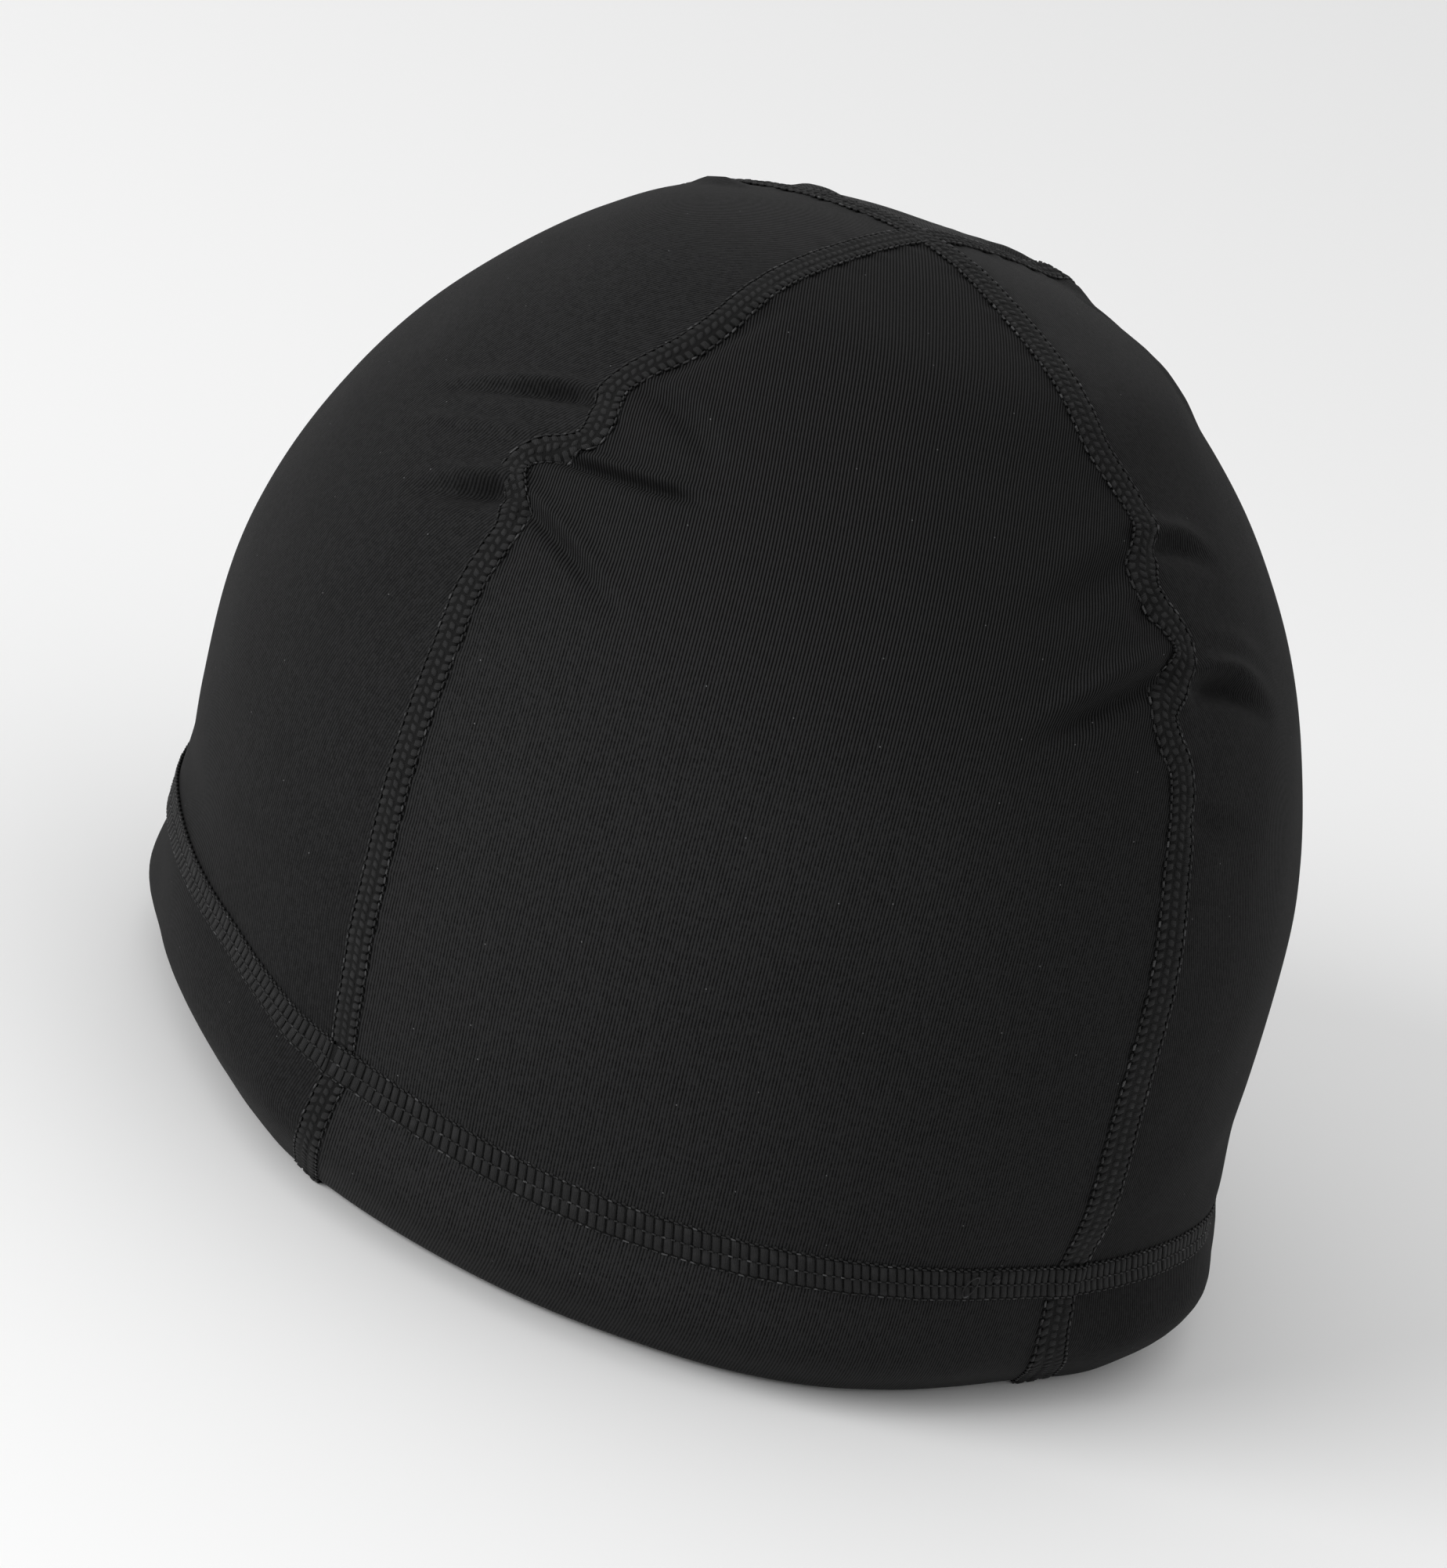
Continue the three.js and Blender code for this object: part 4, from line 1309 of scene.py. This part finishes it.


# %% [markdown]
# The jersey
#
# The front gore and the others are cut from the same cloth, but light runs along the front's ribs under the
# crown, so they stand out there and the cloth looks darker. This light is painted into the colour: two
# materials with the same nodes are lit and shaded copies of one cloth, with their own painted rib contrast
# and painted light and shade low down, at the sides and at the crown, and a hem painted lighter. On the
# steep sides of the folds the cloth is painted darker, with stronger ribs, as painted shade. The sheen
# stands for the fuzz that catches light at the edges of the shape.

# %% Knit material
KNIT_DARK, KNIT_LIGHT = 0.0015, 0.0165
LINT_TONE = 0.08
GRAIN, GRAIN_SCALE = 0.8, 3200
STITCH_TONE = 0.25
MOTTLE, MOTTLE_SCALE = (0.85, 1.15), 45
# Painted shade in folds: their steep sides get stronger ribs and a darker tone.
FOLD_SHADE_CONTRAST = 0.6
FOLD_SHADE_TONE = 0.2
# The hem is painted lighter: painted light.
HEM_PAINTED_LIGHT = 1.22
KNIT_ROUGHNESS, KNIT_GLOSS = 0.85, 0.045
KNIT_SHEEN, KNIT_SHEEN_ROUGHNESS = 0.03, 0.35
RIB_BUMP, RIB_BUMP_STRENGTH = 0.00012, 0.5

# Heights in metres over which the painted rib contrast and the painted light and shade change.
HEM_ZONE, SIDE_ZONE = (0.006, 0.026), (0.02, 0.08)
RIB_ZONE, CROWN_ZONE = (0.085, 0.125), (0.09, 0.145)

JERSEYS = {
    # painted contrast of the ribs at the sides and the crown, and the painted light and shade low down, at
    # the sides and at the crown
    "black_jersey_painted_sides": (0.5, 0.65, 0.86, 1.03, 1.24),
    "black_jersey_painted_front": (0.85, 2.0, 1.45, 1.34, 0.77),
}


def knit_material(name, side_contrast, crown_contrast, low_painted_tone, side_painted_tone, crown_painted_tone):
    material = plain_material(name, BLACK, KNIT_ROUGHNESS)
    tree = material.node_tree
    shader = tree.nodes["Principled BSDF"]
    knit = tree.nodes.new("ShaderNodeGroup")
    knit.node_tree = KNIT_PATTERN
    tree.links.new(flat_position(tree), knit.inputs["Flat"])
    knit.inputs["Wale"].default_value = WALE
    knit.inputs["Course"].default_value = COURSE
    position = tree.nodes.new("ShaderNodeSeparateXYZ")
    tree.links.new(object_position(tree), position.inputs[0])
    height = position.outputs["Z"]
    # The painted fold shade, read from the points.
    painted_fold_shade = point_value(tree, "painted_fold_shade")

    # Painted rib contrast, stronger under the crown where light runs along the ribs.
    contrast = between(tree, height, *RIB_ZONE, side_contrast, crown_contrast)
    contrast = math_node(tree, "MULTIPLY_ADD", painted_fold_shade, FOLD_SHADE_CONTRAST, contrast)
    rib = multiply(tree, centred(tree, knit.outputs["Rib"]), contrast)
    stitch = multiply(tree, centred(tree, knit.outputs["Stitch"]), STITCH_TONE)
    grain = multiply(tree, centred(tree, noise(tree, flat_position(tree), GRAIN_SCALE)), GRAIN)
    shade = math_node(tree, "ADD", math_node(tree, "ADD", rib, stitch), grain)
    shade = math_node(tree, "ADD", shade, 0.5)

    # Painted light and shade: lighter or darker by height, lighter at the hem, and darker in the folds.
    tone = multiply(
        tree,
        between(tree, height, *SIDE_ZONE, low_painted_tone, side_painted_tone),
        between(tree, height, *CROWN_ZONE, 1, crown_painted_tone),
        between(tree, height, *HEM_ZONE, HEM_PAINTED_LIGHT, 1),
        mix_numbers(tree, painted_fold_shade, 1, FOLD_SHADE_TONE),
    )
    mottled = mix_numbers(tree, noise(tree, object_position(tree), MOTTLE_SCALE, 3), *MOTTLE)
    shade = multiply(tree, shade, multiply(tree, mottled, tone))
    colour = grey_mix(tree, shade, KNIT_DARK, KNIT_LIGHT)
    tree.links.new(grey_mix(tree, lint_mask(tree), colour, LINT_TONE), shader.inputs["Base Color"])
    shader.inputs["Specular IOR Level"].default_value = KNIT_GLOSS
    shader.inputs["Sheen Weight"].default_value = KNIT_SHEEN
    shader.inputs["Sheen Roughness"].default_value = KNIT_SHEEN_ROUGHNESS
    add_bump(tree, shader, knit.outputs["Rib"], RIB_BUMP, RIB_BUMP_STRENGTH)
    return material


black_jersey_painted_sides, black_jersey_painted_front = (knit_material(name, *look) for name, look in JERSEYS.items())
for gore in gores:
    gore.data.materials.clear()
    gore.data.materials.append(black_jersey_painted_front if gore is gores[0] else black_jersey_painted_sides)
    print(gore.name, "in", gore.data.materials[0].name)

# %% [markdown]
# The thread
#
# The pillows are bundles of textured polyester: soft filaments that run across the seam, a little lighter
# than the cloth. They would take millions of faces as real strands, so a node group draws them from the flat
# position, and both threads use it.

# %% Thread filaments
FILAMENT = 0.22
FILAMENT_WOBBLE, FILAMENT_WOBBLE_SCALE = 1.6, 900
FILAMENT_SHARE = 0.6
FUZZ_SCALE = 3500


def filament_group():
    """Fine filaments that run across the stitching."""
    tree, entry, leave = new_group(
        "thread_filaments",
        [("Flat", "NodeSocketVector"), ("Filament", "NodeSocketFloat")],
        [("Height", "NodeSocketFloat")],
    )
    split = tree.nodes.new("ShaderNodeSeparateXYZ")
    tree.links.new(entry.outputs["Flat"], split.inputs[0])
    wobble = multiply(tree, noise(tree, entry.outputs["Flat"], FILAMENT_WOBBLE_SCALE), FILAMENT_WOBBLE)
    turns = multiply(tree, split.outputs["Y"], 1 / MM)
    turns = math_node(tree, "DIVIDE", turns, entry.outputs["Filament"])
    strands = wave(tree, math_node(tree, "ADD", turns, wobble))
    fuzz = noise(tree, entry.outputs["Flat"], FUZZ_SCALE)
    height = math_node(tree, "ADD", multiply(tree, strands, FILAMENT_SHARE), fuzz)
    tree.links.new(height, leave.inputs["Height"])
    return tree


FILAMENTS = filament_group()
print("filaments in a flatlock pillow:", round(COLUMN_LENGTH / FILAMENT))

# %% [markdown]
# Thread is painted darkest at the foot of each pillow, where it goes down between its neighbours and lies in
# their shade: this is painted shade. Each vertex knows how high it stands in its stitch, and that number
# paints the foot darker. The needle thread is tighter and smoother than the cover thread, so here and there
# it catches the light, and these glints are painted highlights in its colour.

# %% Thread materials
PILLOW_FOOT, PILLOW_TOP = 0.55, 0.9
BLOTCHES, BLOTCH_SCALE = (0.55, 1.15), 420
PAINTED_GLINT_ZONE, PAINTED_GLINT_SCALE = (0.6, 0.68), 650
THREAD_GLOSS = 0.15
THREAD_SHEEN_ROUGHNESS = 0.4
FILAMENT_BUMP, FILAMENT_BUMP_STRENGTH = 0.0001, 0.8
THREAD_LOOKS = {
    # tones of the painted foot shade, the filaments' dark and light sides and the painted glints, then
    # roughness and sheen
    "cover_thread": (0.001, 0.0042, 0.0125, 0.013, 0.75, 0.02),
    "needle_thread": (0.002, 0.005, 0.016, 0.045, 0.5, 0.03),
}


def thread_material(name, foot_shade, dark, light, painted_glint, roughness, sheen):
    material = plain_material(name, BLACK, roughness)
    tree = material.node_tree
    shader = tree.nodes["Principled BSDF"]
    threads = tree.nodes.new("ShaderNodeGroup")
    threads.node_tree = FILAMENTS
    tree.links.new(flat_position(tree), threads.inputs["Flat"])
    threads.inputs["Filament"].default_value = FILAMENT
    blotches = mix_numbers(tree, noise(tree, object_position(tree), BLOTCH_SCALE), *BLOTCHES)
    shade = multiply(tree, threads.outputs["Height"], blotches)
    # Painted glints: scattered highlights painted into the thread's colour.
    painted_glints = between(tree, noise(tree, object_position(tree), PAINTED_GLINT_SCALE, 0), *PAINTED_GLINT_ZONE, 0, 1)
    thread = grey_mix(tree, painted_glints, grey_mix(tree, shade, dark, light), painted_glint)
    # Painted shade: the foot of each pillow, and the tape under it, take the dark shade tone.
    top = between(tree, point_value(tree, "lift"), PILLOW_FOOT, PILLOW_TOP, 0, 1)
    tree.links.new(grey_mix(tree, top, foot_shade, thread), shader.inputs["Base Color"])
    shader.inputs["Specular IOR Level"].default_value = THREAD_GLOSS
    shader.inputs["Sheen Weight"].default_value = sheen
    shader.inputs["Sheen Roughness"].default_value = THREAD_SHEEN_ROUGHNESS
    add_bump(tree, shader, threads.outputs["Height"], FILAMENT_BUMP, FILAMENT_BUMP_STRENGTH)


for name, look in THREAD_LOOKS.items():
    thread_material(name, *look)
print("threads:", [material.name for material in band.data.materials])

# %% [markdown]
# Sizes
#
# The finished model's box and the frame's box are both measured, and the growth over the frame is printed.
# The finished model must stay in the frame's box.

# %% Sizes and finish
made_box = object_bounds()
growth = [round((a - b) / MM, 1) for a, b in zip(made_box[1] - made_box[0], cad_box[1] - cad_box[0])]
print("growth over the frame, mm:", growth)
print("triangles in all:", sum(triangles_of(piece) for piece in [*gores, *seams, band]))
